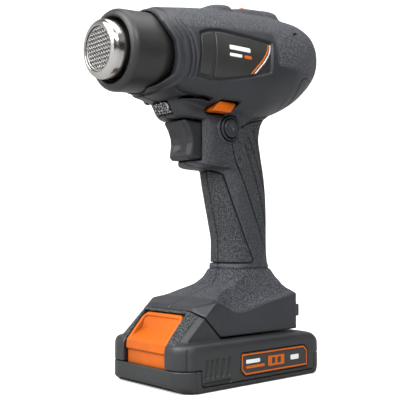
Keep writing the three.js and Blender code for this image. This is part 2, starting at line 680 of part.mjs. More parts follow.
// The label on a flank: its thickness, and how far its outline is grown.
function labelPlate(thickness, margin) {
  const outline = [[-16.5, 20.2], [42, 20.2], [45.5, 16.7], [45.5, 6.3], [-13, 6.3], [-16.5, 9.8]];
  return sideSlab(grown(outline, margin), PACK_WIDTH / 2 - thickness, PACK_WIDTH / 2 + margin);
}

// The orange thumb latch: a push button in the tower's front, with a scoop for the thumb.
function packLatch() {
  const outline = [
    [-59.6, 14.6], [-59.6, 21], [-61, 22], [-60.6, 27.6], [-46.2, 44.2],
    [-44.6, 43.4], [-47.6, 30], [-56, 26], [-56, 14.6],
  ];
  const scoop = [[-70, 29.8], [-50.4, 31.6], [-46, 50], [-70, 50]];
  const halfScoop = LATCH_HALF_WIDTH - 4.5;
  return sideSlab(outline, -LATCH_HALF_WIDTH, LATCH_HALF_WIDTH)
    .subtract(sideSlab(scoop, -halfScoop, halfScoop));
}

function latchSpring() {
  return rodZ(2.4, 8, 14.2, 0, -57.6, 10).subtract(rodZ(1.4, 0, 30, 0, -57.6, 8));
}

function cellY(k) {
  return (k - (CELL_COUNT - 1) / 2) * CELL_PITCH;
}

function cell(k) {
  return rodX(CELL_RADIUS, -CELL_LENGTH / 2, CELL_LENGTH / 2, cellY(k), CELL_Z, 12);
}

function cellHolder() {
  const reach = 2.5 * CELL_PITCH;
  const cover = box(-28, 28, -reach, reach, 22.6, 24.2);
  const cheek = (x) => [0, 1, 2, 3, 4].reduce(
    (wall, k) => wall.subtract(rodX(CELL_RADIUS + GAP, x - 5, x + 5, cellY(k), CELL_Z, 12)),
    box(x - 1, x + 1, -reach, reach, 3, 22.8),
  );
  return join(cover, cheek(-26), cheek(26));
}

function packBoard() {
  return box(-24, 24, -24, 42, 24.6, 26.2);
}

function packLabel(side) {
  const label = labelPlate(LABEL_THICKNESS, 0);
  return side > 0 ? label : label.mirror([1, 0, 0]);
}

// ---------------------------------------------------------------- materials and assembly

const FINISH = {
  housing: { color: 0x3d4047, roughness: 0.55, metalness: 0 },
  collar: { color: 0x33353a, roughness: 0.45, metalness: 0 },
  steel: { color: 0xc9c9c6, roughness: 0.18, metalness: 1 },
  rubber: { color: 0x2e2f31, roughness: 0.85, metalness: 0 },
  badge: { color: 0x34352f, roughness: 0.4, metalness: 0 },
  orange: { color: 0xef7a24, roughness: 0.45, metalness: 0 },
  trigger: { color: 0x2b2d31, roughness: 0.6, metalness: 0 },
  lens: { color: 0xe6ecf0, roughness: 0.1, metalness: 0 },
  pack: { color: 0x3a3c3d, roughness: 0.6, metalness: 0 },
  mica: { color: 0xcfc6ae, roughness: 0.7, metalness: 0 },
  coil: { color: 0x8d8a86, roughness: 0.4, metalness: 1 },
  black: { color: 0x18191b, roughness: 0.6, metalness: 0 },
  board: { color: 0x1f6b3a, roughness: 0.5, metalness: 0 },
  brass: { color: 0xc9a14c, roughness: 0.35, metalness: 1 },
  screw: { color: 0x2a2a2c, roughness: 0.35, metalness: 1 },
  wireRed: { color: 0xb3241d, roughness: 0.5, metalness: 0 },
  cell: { color: 0x2f7d8c, roughness: 0.4, metalness: 0 },
};

const gun = new THREE.Group();

function add(name, finish, manifold) {
  const mesh = new THREE.Mesh(geometryOf(manifold), new THREE.MeshStandardMaterial(FINISH[finish]));
  mesh.name = name;
  gun.add(mesh);
}

const SIDES = [['left', 1], ['right', -1]];

for (const [name, side] of SIDES) {
  add(`housing_${name}`, 'housing', housingHalf(side));
  add(`grip_front_${name}`, 'rubber', grip(FRONT_GRIP, side));
  add(`grip_rear_${name}`, 'rubber', grip(REAR_GRIP, side));
  add(`badge_${name}`, 'badge', inlay(BADGE, 0.6, 1.2, side));
  add(`boss_cap_${name}`, 'housing', bossCap(side));
}
add('rear_cover', 'housing', rearCover());
add('front_collar', 'collar', tipped(frontCollar()));
add('nozzle_tube', 'steel', tipped(nozzleTube()));
add('nozzle_grille', 'steel', tipped(nozzleGrille()));
add('heater_tube', 'mica', tipped(heaterTube()));
add('heater_cross', 'mica', tipped(heaterCross()));
add('heating_coil', 'coil', tipped(heatingCoil()));
add('thermal_cutout', 'brass', tipped(thermalCutout()));
add('fan_duct', 'black', tipped(fanDuct()));
add('fan_impeller', 'black', tipped(fanImpeller()));
add('motor_can', 'steel', tipped(motorCan()));
add('motor_shaft', 'steel', tipped(motorShaft()));
add('motor_armature', 'coil', tipped(motorArmature()));
add('motor_bracket', 'black', tipped(motorBracket()));
add('trigger_switch', 'black', triggerSwitch());
add('control_board', 'board', controlBoard());
add('mode_switch', 'black', modeSwitch());
add('work_light_lens', 'lens', workLightLens());
add('work_light_led', 'lens', workLightLed());
add('terminal_block', 'black', terminalBlock());
add('terminal_blade_left', 'brass', terminalBlade(9));
add('terminal_blade_right', 'brass', terminalBlade(-9));
add('wire_positive', 'wireRed', supplyWire(4));
add('wire_negative', 'black', supplyWire(-4));
SCREWS.forEach((place, k) => add(`housing_screw_${k + 1}`, 'screw', housingScrew(place)));

add('trigger', 'trigger', trigger());
add('trigger_plunger', 'steel', triggerPlunger());
add('trigger_spring', 'steel', triggerSpring());
add('lock_off_bar', 'orange', lockOffBar());
add('mode_slider', 'orange', modeSlider());

add('pack_lower_case', 'pack', packLowerCase());
add('pack_upper_case', 'pack', packUpperCase());
for (let k = 0; k < CELL_COUNT; k++) add(`cell_${k + 1}`, 'cell', cell(k));
add('cell_holder', 'black', cellHolder());
add('pack_board', 'board', packBoard());
add('pack_label_left', 'badge', packLabel(1));
add('pack_label_right', 'badge', packLabel(-1));
add('pack_latch', 'orange', packLatch());
add('latch_spring', 'steel', latchSpring());

export default gun;
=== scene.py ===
"""The looks of a cordless heat gun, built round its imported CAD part.

Shapes are worked out in millimetres in the part's own frame: the nozzle points to -Y, +X is the left flank
and +Z is up. Moulded pieces are distance fields on a grid, turned into meshes; turned pieces are revolved.
"""

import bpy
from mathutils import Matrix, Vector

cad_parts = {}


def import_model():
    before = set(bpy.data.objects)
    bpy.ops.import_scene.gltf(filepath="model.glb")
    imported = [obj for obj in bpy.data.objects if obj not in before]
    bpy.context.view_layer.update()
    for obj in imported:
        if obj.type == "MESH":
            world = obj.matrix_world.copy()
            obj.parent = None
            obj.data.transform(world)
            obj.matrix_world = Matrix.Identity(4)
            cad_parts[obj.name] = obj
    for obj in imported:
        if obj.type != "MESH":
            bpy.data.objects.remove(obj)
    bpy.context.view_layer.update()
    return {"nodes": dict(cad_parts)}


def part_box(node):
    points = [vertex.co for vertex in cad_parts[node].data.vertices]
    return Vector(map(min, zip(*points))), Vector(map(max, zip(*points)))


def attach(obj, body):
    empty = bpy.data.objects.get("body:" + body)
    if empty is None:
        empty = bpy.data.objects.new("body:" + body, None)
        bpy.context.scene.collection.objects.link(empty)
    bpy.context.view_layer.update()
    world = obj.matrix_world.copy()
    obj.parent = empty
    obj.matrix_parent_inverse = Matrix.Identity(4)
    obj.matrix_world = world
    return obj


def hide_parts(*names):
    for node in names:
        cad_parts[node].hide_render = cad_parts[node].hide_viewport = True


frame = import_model()

import copy
import functools
import math

import bpy
import numpy as np
import openvdb
from mathutils import Matrix, Vector

# ------------------------------------------------------------------ driving dimensions, in mm

MM = 0.001


def cad_box(node):
    """The lowest and highest corner of a CAD node, in mm."""
    low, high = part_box(node)
    return np.array(low) / MM, np.array(high) / MM


GAP = 0.3  # between neighbouring pieces
WALL = 2.6
FAR = 400  # beyond every piece
FLANKS = (("left", 1), ("right", -1))

BARREL_Z = 202.8  # height of the outlet's front centre
BARREL_TILT = math.radians(4.7)  # that the outlet points nose down
NOZZLE_RADIUS = 17.9
NOZZLE_BORE = NOZZLE_RADIUS - 0.9
NOZZLE_FLANGE = 22
NOZZLE_FRONT_Y = -97.6
NOZZLE_REAR_Y = -26
LIP_RADIUS = 4.4
GRILLE_RADIUS = 13.3
GRILLE_PITCH = 1.75
WIRE_RADIUS = 0.29
COLLAR_RADIUS = 24.8
COLLAR_BORE = 19.9
COLLAR_FRONT_Y = -88.2
COLLAR_SEAT_Y = -72
COLLAR_REAR_Y = -57

THROAT_HALF_WIDTH = 15.5
FOOT_HALF_WIDTH = 31.5
FOOT_REAR_Y = 42.5
FLARE_TOP_Z = 75
FLARE_GROOVE_Z = 70.8
RAIL_FRONT_Y = -34
RAIL_STOP_Y = 5.5
RAIL_REAR_Y = 41
RAIL_TOP_Z = 40.9
RAIL_HEAD_Z = 34.2
RAIL_HEAD_HALF_WIDTH = 22.4
RAIL_NECK_HALF_WIDTH = 18.2

PACK_LOW, _ = cad_box("pack_lower_case")
PACK_HALF_WIDTH = -PACK_LOW[0]
PACK_HALF_LENGTH = -PACK_LOW[1]
PACK_CORNER = 12
PACK_SEAM_Z = 13.6
PACK_TOP_Z = 30
CHEEK_BASE_Z = 3.6
LATCH_HALF_WIDTH = 20

TRIGGER_HALF_WIDTH = 11
LENS_HALF_WIDTH = 7.2
BUTTON_INNER_X = 16
BUTTON_LEFT_X = 23.4
BUTTON_RIGHT_X = -20.5
SLIDER_REST_Y = 20.5
SLIDER_TRAVEL = 7
SLIDER_FLOOR_Z = 246.3
SLIDER_CROWN_Z = 250.0
GRIP_THICKNESS = 1.4
BOSS_CAP = (-4.8, 162.4)
BOSS_CAP_RADIUS = 8.2
SCREWS = [(-47, 180.5), (60, 226), (40, 182), (4, 121), (30, 84), (-18, 44)]
SCREW_HEAD_RADIUS = 3.1
SCREW_HEAD_HEIGHT = 2.6
SHANK_RADIUS = 1.4

# ------------------------------------------------------------------ outlines and sections

# Barrel and ridge sections along Y: (y, half width, bottom z, top z).
BARREL = [
    (-80, 26.6, 180.4, 231), (-76, 27.4, 180, 231.6), (-60, 30.6, 177.8, 234.4), (-25, 36, 171, 240.4),
    (10, 38, 166.5, 244), (36, 36.6, 174.2, 245.8), (55, 32.6, 182.4, 246.2), (68, 27.2, 191, 244.6),
    (77, 21.6, 198.4, 240.4), (83, 15.2, 205, 233.4), (86.6, 7, 213, 224.5), (87.4, 2, 217, 220),
]
RIDGE = [
    (-26, 9, 225, 238.0), (-19, 12, 225, 242.2), (-14, 14.4, 225, 244.8), (-9, 15, 225, 246.0),
    (-2.4, 15, 225, 246.8), (0.6, 15, 225, 245.2), (8, 15, 225, 246.6), (17, 15, 225, 248.3),
    (29, 15.2, 225, 249.7), (38, 15.5, 225, 250.6), (42, 15.3, 225, 250.4), (46, 14.4, 225, 247.6),
    (52, 12, 225, 244.4),
]
# Handle and nose sections along Z: (z, half width, front y, rear y).
HANDLE = [
    (48, 31.5, -36, 42.5), (56, 28, -20, 42.6), (61, 22.6, -6, 42.2), (66, 18.8, -2.6, 40.6),
    (73, 16.7, -1.2, 38.6), (88, 16.2, -1.2, 38), (102, 16.6, -3.9, 38), (116, 16.8, -7.4, 37.8),
    (130, 16.8, -10.6, 36.6), (148, 16.6, -13, 33.0), (158, 16.6, -13, 31.2), (176, 16.6, -13, 36),
]
NOSE_BASE_Z = 166.4
NOSE = [
    (160, 15.5, -44.4, -13), (166.4, 15.5, -46.0, -13), (171, 15.5, -49.0, -13), (176.4, 15.5, -52.0, -13),
    (186, 15.5, -57, -13),
]
# How square the handle's section is along Z, from the foot up.
SQUARENESS_Z = (48, 58, 68, 76, 178)
SQUARENESS = (7.0, 5.5, 3.4, 2.4, 2.4)
# The upper edge of the foot's flat flanks.
FLANK_EDGE_Y = (-45, -28.6, -11.4, 14, 42)
FLANK_EDGE_Z = (52.6, 51.0, 44.2, 49.0, 54.2)
# The facets on the front corners of foot and tower.
FACET_POINT = (32, -39.4, 43.5)
FACET_OUTWARD = (0.46, -0.6, 0.65)

# Side outlines (y, z).
THROAT = [
    (-27.5, 182), (-27.5, 141.6), (-30, 141), (-29.6, 139.2), (-24, 137.6), (-17.5, 136.9), (-8, 136.6),
    (14, 136.4), (14, 182),
]
FOOT = [(-27, 30.3), (-42.9, 46.2), (-41, 49.0), (-29, 52.6), (42.5, 56), (42.5, 30.3)]
TOWER = [(-61.5, 26), (-59.5, 30.5), (-45.4, 46.8), (-43.9, 46.2), (-27.6, 29.8), (-27.6, 26)]
REAR_COVER = [(46.6, 140), (46.6, 190), (47.4, 198.4), (53, 201.8), (200, 201.8), (200, 140)]
FRONT_GRIP = [
    (-30, 136.2), (-12.5, 136.2), (-6.5, 132.4), (-0.2, 114.9), (8.4, 94.1), (16.3, 75.8), (15.4, 74.6),
    (-30, 74.6),
]
REAR_GRIP = [
    (-1.9, 152.3), (0.4, 143), (8.1, 128.5), (18.4, 105.5), (27.9, 85.3), (37, 78.5), (70, 78.5), (70, 176),
    (27.7, 172), (12, 167.6), (3.6, 163),
]
GRIP_GROOVES = [
    [(13.1, 157.9), (21.5, 141), (29.4, 122.9)], [(17.5, 164), (23, 151), (28.5, 134.5)],
    [(9.6, 153), (17.4, 135), (24.6, 117), (31.5, 98)],
]
BADGE = [
    (-33, 190), (-33, 217.8), (-29, 218.6), (-5, 217.8), (14.6, 217), (12.6, 210.6), (8.2, 204), (0.4, 195.8),
    (-14, 192.4), (-27.5, 190),
]
BADGE_STRIPE = [(14.4, 218.6), (12.4, 210.8), (7.8, 204.2), (-1.6, 194.0)]
BADGE_STRIP = [
    (-42.6, 191), (-43.8, 196.5), (-43.8, 213.4), (-42.6, 215.6), (-35.6, 217.6), (-34.6, 214.6),
    (-35.6, 205), (-34.6, 190.6),
]
BADGE_RECESS = [
    (-45.4, 189.4), (-45.4, 216.4), (-36.6, 219.8), (-29, 220.8), (-4, 220), (14.6, 219), (13.4, 197.8),
    (-1, 193.2), (-14, 190.2), (-27.5, 188), (-35, 188),
]
EDGE_NOTCH = [
    (-99, 172), (-76, 178.3), (-64, 184), (-58, 189.6), (-58.5, 198), (-60.5, 208), (-65, 215.4),
    (-67, 221), (-66, 244), (-99, 244),
]
NOTCH_CORNER = 4.0
NOTCH_RIM = 5.0  # width of the lowered rim round the notch
NOTCH_CREASES = ((8.6, 1.0), (11.2, 0.8))  # distance from the notch and radius
ARCH_GROOVE = [(-64, 171.4), (-58, 174.6), (-51, 177.1), (-42.4, 178.8), (-34.5, 178.9), (-27.2, 178.0)]
LIP_CREASE = [(-53.6, 182.6), (-48, 180.6), (-40.8, 179.1)]
REAR_CREASE = [(12, 169), (20, 172.4), (28, 173.6)]
SIDE_SLIT = [(41, 229.3), (46.6, 232.1)]
LOCK_BUTTON = [(-26.6, 171.2), (-19.8, 178.2), (-5.0, 178.0), (-10.8, 171.4)]
TRIGGER = [
    (-40.4, 166.3), (-36.4, 160.6), (-34.3, 155.6), (-33.8, 151), (-34.6, 146.6), (-35, 143.2), (-32.8, 141),
    (-22.5, 141), (-22.5, 166.3),
]
TRIGGER_OPENING = [(-60, 140.6), (-60, 166.7), (-15, 166.7), (-15, 140.6)]
LENS = [(-52.4, 175.9), (-48.4, 169.2), (-44.6, 169.2), (-44.6, 170.8), (-46.8, 170.8), (-50.0, 175.9)]
LENS_OPENING = [(-62, 168.9), (-62, 176.3), (-44.2, 176.3), (-44.2, 168.9)]
PACK_SIDE = [(-90, -9), (90, -9), (64, 15), (59.5, 22.5), (52, 27.7), (42, PACK_TOP_Z), (-90, PACK_TOP_Z)]
LABEL = [(-16.5, 20.2), (42, 20.2), (45.5, 16.7), (45.5, 6.3), (-13, 6.3), (-16.5, 9.8)]
LATCH_WELL = [(-75, 12), (-75, 44.9), (-44.1, 44.9), (-44.1, 25), (-47.4, 25), (-55.2, 20.8), (-55.2, 12)]
LATCH = [
    (-60.3, 11.8), (-60.3, 21.4), (-61.8, 22.2), (-61.3, 27.6), (-46.2, 44.2), (-44.6, 43.4), (-47.2, 30),
    (-54.6, 26), (-56, 11.8),
]
LATCH_SCOOP = [(-80, 20.6), (-60.2, 28.6), (-50.2, 33.2), (-46.9, 42.2), (-80, 42.6)]

# ------------------------------------------------------------------ distance fields


class Grid:
    """Sample points between two corners. x, y and z are laid out so that they combine to the full grid."""

    def __init__(self, low, high, step):
        self.low = np.array(low, float)
        self.step = step
        counts = [int(math.ceil((b - a) / step)) + 1 for a, b in zip(low, high)]
        x, y, z = [a + step * np.arange(n, dtype=np.float32) for a, n in zip(low, counts)]
        self.x = x[:, None, None].astype(np.float32)
        self.y = y[None, :, None].astype(np.float32)
        self.z = z[None, None, :].astype(np.float32)


def union(*fields):
    """What any of the fields fills."""
    return functools.reduce(np.minimum, fields)


def common(*fields):
    """What all of the fields fill."""
    return functools.reduce(np.maximum, fields)


def smooth_min(a, b, radius):
    """The union, with its inner corner rounded."""
    h = np.clip(0.5 + 0.5 * (b - a) / radius, 0, 1)
    return b + (a - b) * h - radius * h * (1 - h)


def smooth_max(a, b, radius):
    """What both fill, with its edge rounded."""
    return -smooth_min(-a, -b, radius)


def cut(body, tool, radius):
    """The body without the tool, with its new edge rounded."""
    return smooth_max(body, -tool, radius)


def ease(value):
    """0 below 0, 1 above 1, and a smooth step between."""
    t = np.clip(value, 0, 1)
    return t * t * (3 - 2 * t)


def curve_through(at, stations, values):
    """A smooth curve through the values that never overshoots them."""
    stations = np.array(stations, float)
    values = np.array(values, float)
    slope = np.diff(values) / np.diff(stations)
    before, after = slope[:-1], slope[1:]
    inner = np.where(after * before > 0, 2 * after * before / (after + before + 1e-9), 0)
    tangent = np.concatenate([[slope[0]], inner, [slope[-1]]])
    at = np.clip(at, stations[0], stations[-1])
    k = np.clip(np.searchsorted(stations, at) - 1, 0, len(stations) - 2)
    width = stations[k + 1] - stations[k]
    t = (at - stations[k]) / width
    start = (1 + 2 * t) * (1 - t) ** 2 * values[k] + t * (1 - t) ** 2 * width * tangent[k]
    end = t * t * (3 - 2 * t) * values[k + 1] + t * t * (t - 1) * width * tangent[k + 1]
    return (start + end).astype(np.float32)


def superellipse(u, v, half_u, half_v, power):
    """About the distance from a superellipse, negative inside."""
    s = (np.abs(u) / half_u) ** power
    t = (np.abs(v) / half_v) ** power
    size = (s + t + 1e-5) ** (1 / power)
    slope = size ** (1 - power) * np.hypot(s / (np.abs(u) + 0.02), t / (np.abs(v) + 0.02))
    return np.maximum((size - 1) / np.maximum(slope, 1e-3), -np.minimum(half_u, half_v))


def loft(x, along, across, sections, power):
    """A form through sections (station along, half width in x, low and high across)."""
    stations, *columns = zip(*sections)
    width, low, high = [curve_through(along, stations, column) for column in columns]
    body = superellipse(x, across - (low + high) / 2, width, (high - low) / 2, power)
    return np.maximum(body, slab(along, stations[0], stations[-1]))


def rounded(points, radius, steps=4, closed=True):
    """The outline with its corners rounded."""
    out = []
    count = len(points)
    for k, corner in enumerate(points):
        if not closed and k in (0, count - 1):
            out.append(corner)
            continue
        c = np.array(corner, float)
        before = np.array(points[k - 1], float) - c
        after = np.array(points[(k + 1) % count], float) - c
        before_length, after_length = np.linalg.norm(before), np.linalg.norm(after)
        turn = before.dot(after) / (before_length * after_length)
        half = math.acos(max(-1, min(1, turn))) / 2
        reach = min(radius / math.tan(half), 0.48 * before_length, 0.48 * after_length)
        a = c + before * reach / before_length
        b = c + after * reach / after_length
        for t in np.linspace(0, 1, steps + 1):
            out.append(tuple((1 - t) ** 2 * a + 2 * t * (1 - t) * c + t * t * b))
    return out


def line_distance(u, v, points, closed=False):
    """Distance from a line of points in the plane of u and v."""
    ends = points[1:] + points[:1] if closed else points[1:]
    best = np.float32(1e9)
    for (u0, v0), (u1, v1) in zip(points, ends):
        du, dv = u1 - u0, v1 - v0
        t = np.clip(((u - u0) * du + (v - v0) * dv) / (du * du + dv * dv + 1e-9), 0, 1)
        best = np.minimum(best, (u - u0 - t * du) ** 2 + (v - v0 - t * dv) ** 2)
    return np.sqrt(best)


def bend_distance(u, v, points, radius=20):
    """Distance from a line whose corners are rounded."""
    return line_distance(u, v, rounded(points, radius, closed=False))


def outline_distance(u, v, points):
    """Signed distance from a closed outline in the plane of u and v, negative inside."""
    inside = np.zeros(np.broadcast(u, v).shape, bool)
    for (u0, v0), (u1, v1) in zip(points, points[1:] + points[:1]):
        if v0 != v1:
            inside ^= ((v0 > v) != (v1 > v)) & (u < (u1 - u0) * (v - v0) / (v1 - v0) + u0)
    return np.where(inside, -1, 1) * line_distance(u, v, points, closed=True)


def side(grid, outline, radius):
    """Signed distance from a side outline (y, z) with rounded corners."""
    return outline_distance(grid.y, grid.z, rounded(outline, radius)).astype(np.float32)


def slab(value, low, high):
    return np.maximum(low - value, value - high)


def box(grid, low, high):
    """Distance from a box between two corners."""
    return common(*[slab(value, a, b) for value, a, b in zip((grid.x, grid.y, grid.z), low, high)])


def rounded_rect(u, v, half_u, half_v, radius):
    du = np.abs(u) - half_u + radius
    dv = np.abs(v) - half_v + radius
    return np.hypot(np.maximum(du, 0), np.maximum(dv, 0)) + np.minimum(np.maximum(du, dv), 0) - radius


def plane(grid, point, outward):
    """Distance from a plane through a point, positive on its outward side."""
    outward = np.array(outward) / np.linalg.norm(outward)
    return sum((value - p) * o for value, p, o in zip((grid.x, grid.y, grid.z), point, outward))


def both_facets(grid, field):
    """Cuts both front corners of the foot or the tower, below the handle."""
    x, y, z = FACET_POINT
    outward_x, outward_y, outward_z = FACET_OUTWARD
    for _, sign in FLANKS:
        facet = plane(grid, (sign * x, y, z), (sign * outward_x, outward_y, outward_z))
        field = smooth_max(field, np.where(grid.z < FLARE_TOP_Z, facet, np.float32(-FAR)), 0.8)
    return field


def normalised(grid, field):
    """The field over its own slope, so that a step of 1 is about 1 mm."""
    slopes = np.gradient(field, grid.step)
    length = np.sqrt(sum(s * s for s in slopes))
    return field / np.clip(length, 0.5, 2.0)


def tipped(grid):
    """Radius and y of each grid point in the outlet's own tipped frame."""
    dy = grid.y - NOZZLE_FRONT_Y
    dz = grid.z - BARREL_Z
    along = dy * math.cos(BARREL_TILT) + dz * math.sin(BARREL_TILT)
    up = dz * math.cos(BARREL_TILT) - dy * math.sin(BARREL_TILT)
    return np.hypot(grid.x, up), along + NOZZLE_FRONT_Y


# ------------------------------------------------------------------ meshes


def finish_piece(obj, name, body, material):
    """Gives a piece its material and body. It replaces the CAD node of its name, if there is one."""
    obj.data.materials.append(material)
    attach(obj, body)
    if name in frame["nodes"]:
        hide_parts(name)


def signed_volume(points, quads):
    a, b, c, d = [points[quads[:, k]] for k in range(4)]
    return np.einsum("ij,ij->", a, np.cross(b, c)) + np.einsum("ij,ij->", a, np.cross(c, d))


def new_object(name, points, quads):
    """A smooth mesh object from points in mm and quads, which are turned to face outwards."""
    points = np.array(points)
    quads = np.array(quads)
    if signed_volume(points, quads) < 0:
        quads = quads[:, ::-1]
    mesh = bpy.data.meshes.new(name)
    mesh.vertices.add(len(points))
    mesh.vertices.foreach_set("co", (points.astype(np.float32) * MM).ravel())
    mesh.loops.add(quads.size)
    mesh.loops.foreach_set("vertex_index", quads.astype(np.int32).ravel())
    mesh.polygons.add(len(quads))
    mesh.polygons.foreach_set("loop_start", np.arange(0, quads.size, 4, dtype=np.int32))
    mesh.update(calc_edges=True)
    mesh.validate()
    mesh.shade_smooth()
    obj = bpy.data.objects.new(name, mesh)
    bpy.context.scene.collection.objects.link(obj)
    return obj


def moulded(name, grid, field, body, material, budget, mirror=False, masks=None):
    """A piece from the inside of a distance field, with at most a budget of triangles."""
    reach = 3 * grid.step
    level = openvdb.FloatGrid(reach)
    level.copyFromArray(np.ascontiguousarray(np.clip(field, -reach, reach), np.float32))
    points, quads = level.convertToQuads(0.0)
    points = points * grid.step + grid.low
    if mirror:
        points[:, 0] *= -1
    obj = new_object(name, points, quads.astype(np.int64))
    for mask, function in (masks or {}).items():
        attribute = obj.data.attributes.new(mask, "FLOAT", "POINT")
        attribute.data.foreach_set("value", np.asarray(function(*points.T), np.float32))
    if 2 * len(quads) > budget:
        modifier = obj.modifiers.new("Decimate", "DECIMATE")
        modifier.ratio = budget / (2 * len(quads))
    finish_piece(obj, name, body, material)


def whole(grid, field):
    """A field made for x from 0 up, and its mirror image, as one. The grid's x has a sample at 0."""
    middle = int(np.argmin(np.abs(grid.x.ravel())))
    wide = copy.copy(grid)
    wide.low = np.array([-grid.x.max(), *grid.low[1:]])
    return wide, np.concatenate([field[middle + 1:][::-1], field[middle:]], axis=0)


def tip(x, y, z):
    """A point on the outlet's axis, in mm, tipped nose down about the outlet's front centre."""
    pivot = Vector((0, NOZZLE_FRONT_Y, BARREL_Z))
    return tuple(Matrix.Rotation(BARREL_TILT, 3, "X") @ (Vector((x, y, z)) - pivot) + pivot)


def revolve(profile, segments, place, lobes=0, lobe_rows=()):
    """Points and quads of a closed (radius, along) profile turned round an axis. place maps (along, u, v)."""
    points = []
    rows = len(profile)
    for row, (radius, along) in enumerate(profile):
        for k in range(segments):
            angle = 2 * math.pi * k / segments
            r = radius * (1 + 0.13 * math.cos(lobes * angle)) if row in lobe_rows else radius
            points.append(place(along, r * math.cos(angle), r * math.sin(angle)))
    faces = []
    for row in range(rows):
        below = ((row + 1) % rows) * segments
        for k in range(segments):
            after = (k + 1) % segments
            faces.append((row * segments + k, row * segments + after, below + after, below + k))
    return points, faces


def turned(name, material, *revolved):
    """A piece of the housing, turned from the arguments of revolve."""
    finish_piece(new_object(name, *revolve(*revolved)), name, "housing", material)


def on_outlet_axis(y, u, v):
    return tip(u, y, BARREL_Z + v)


def across(sign, y, z):
    """Places revolved points on an axis across the gun, out to the flank of that sign."""
    return lambda along, u, v: (sign * along, y + u, z + v)


def arc(centre, radius, start, end, steps):
    """Points of an arc between two angles in degrees."""
    angles = np.radians(np.linspace(start, end, steps + 1))
    return [(centre[0] + radius * math.cos(a), centre[1] + radius * math.sin(a)) for a in angles]


# ------------------------------------------------------------------ materials


class Nodes:
    """A small helper to write node trees in few lines."""

    def __init__(self, name):
        self.material = bpy.data.materials.new(name)
        self.material.use_nodes = True
        self.tree = self.material.node_tree
        self.shader = self.tree.nodes["Principled BSDF"]

    def add(self, kind, inputs=None, **settings):
        node = self.tree.nodes.new(kind)
        for key, value in settings.items():
            setattr(node, key, value)
        for key, value in (inputs or {}).items():
            self.put(node.inputs[key], value)
        return node

    def put(self, socket, value):
        if isinstance(value, bpy.types.NodeSocket):
            self.tree.links.new(value, socket)
        elif isinstance(value, tuple) and len(value) == 3 and socket.type == "RGBA":
            socket.default_value = (*value, 1)
        else:
            socket.default_value = value

    def place(self):
        return self.add("ShaderNodeTexCoord").outputs["Object"]

    def noise(self, scale, detail=4, roughness=0.55, vector=None):
        inputs = {"Scale": scale, "Detail": detail, "Roughness": roughness, "Vector": vector or self.place()}
        return self.add("ShaderNodeTexNoise", inputs).outputs["Fac"]

    def math(self, operation, a, b):
        return self.add("ShaderNodeMath", {0: a, 1: b}, operation=operation).outputs[0]

    def between(self, value, low, high, to_low=0.0, to_high=1.0):
        inputs = {"Value": value, "From Min": low, "From Max": high, "To Min": to_low, "To Max": to_high}
        return self.add("ShaderNodeMapRange", inputs).outputs["Result"]

    def mix(self, factor, a, b):
        """Blends two colours."""
        return self.add("ShaderNodeMix", {0: factor, 6: a, 7: b}, data_type="RGBA").outputs[2]

    def bump(self, height, strength, distance, normal=None):
        inputs = {"Height": height, "Strength": strength, "Distance": distance}
        if normal is not None:
            inputs["Normal"] = normal
        return self.add("ShaderNodeBump", inputs).outputs["Normal"]

    def set(self, **inputs):
        for key, value in inputs.items():
            self.put(self.shader.inputs[key.replace("_", " ")], value)

    def mask(self, name):
        return self.add("ShaderNodeAttribute", attribute_name=name).outputs["Fac"]

    def edge(self, low=0.52, high=0.60):
        """1 on outward edges, 0 elsewhere."""
        pointiness = self.add("ShaderNodeNewGeometry").outputs["Pointiness"]
        return self.between(pointiness, low, high)

    def shaded_creases(self, color, deep):
        """The colour, going over to a deep one as painted shade in grooves, recesses and inner corners."""
        # painted shade: darker in concave corners, along the painted shade lines of the mesh mask, and where
        # ambient occlusion finds nearby surfaces
        crease = self.math("MAXIMUM", self.edge(0.49, 0.42), self.mask("painted_shade"))
        nearby = self.add("ShaderNodeAmbientOcclusion", {"Distance": 0.007}, samples=6).outputs["AO"]
        hidden = self.between(nearby, 0.92, 0.30)
        depth = self.math("MULTIPLY", self.math("MAXIMUM", crease, hidden), 0.75)
        return self.mix(depth, color, shade(deep, 0.22))


def shade(color, factor):
    """The colour made lighter or darker."""
    return tuple(min(1, c * factor) for c in color)


def plastic(name, color, roughness, grain, edge_light, shine=0.5, stipple=False, speckle=None):
    """Moulded plastic: fine grain in its surface, a little colour drift and lighter edges.

    stipple adds a coarser grain where the mesh's stipple mask is 1, speckle adds light dots."""
    n = Nodes(name)
    drift = n.noise(28, 3)
    base = n.mix(n.between(drift, 0.35, 0.65), shade(color, 0.86), shade(color, 1.14))
    scratches = n.noise(420, 6, 0.7)
    worn = n.math("MULTIPLY", n.edge(), n.between(scratches, 0.42, 0.6))
    base = n.mix(worn, base, shade(color, edge_light))
    normal = n.bump(n.noise(2600, 3, 0.6), 0.6, 0.00005 * grain)
    rough = n.between(drift, 0.3, 0.7, roughness - 0.05, roughness + 0.05)
    if stipple:
        mask = n.mask("stipple")
        base, normal = sandy(n, base, color, normal, mask)
        rough = n.math("ADD", rough, n.math("MULTIPLY", mask, 0.10))
    if speckle:
        dots = n.between(n.noise(1500, 2, 0.5), 0.62, 0.72)
        base = n.mix(n.math("MULTIPLY", dots, speckle), base, shade(color, 2.4))
    # painted shade in grooves, recesses and inner corners
    base = n.shaded_creases(base, color)
    n.set(Base_Color=base, Roughness=rough, Normal=normal, Specular_IOR_Level=shine)
    return n.material


def sandy(n, base, color, normal, amount):
    """Adds the coarse grain of spark-eroded moulds and grips: light grains, dark pits and their bump."""
    grains = n.noise(1500, 1, 0.5)
    light = n.math("MULTIPLY", n.between(grains, 0.50, 0.58), amount)
    dark = n.math("MULTIPLY", n.between(grains, 0.48, 0.42), amount)
    base = n.mix(light, base, shade(color, 4.8))
    base = n.mix(n.math("MULTIPLY", dark, 0.85), base, shade(color, 0.25))
    return base, n.bump(n.math("MULTIPLY", grains, amount), 0.9, 0.0012, normal)


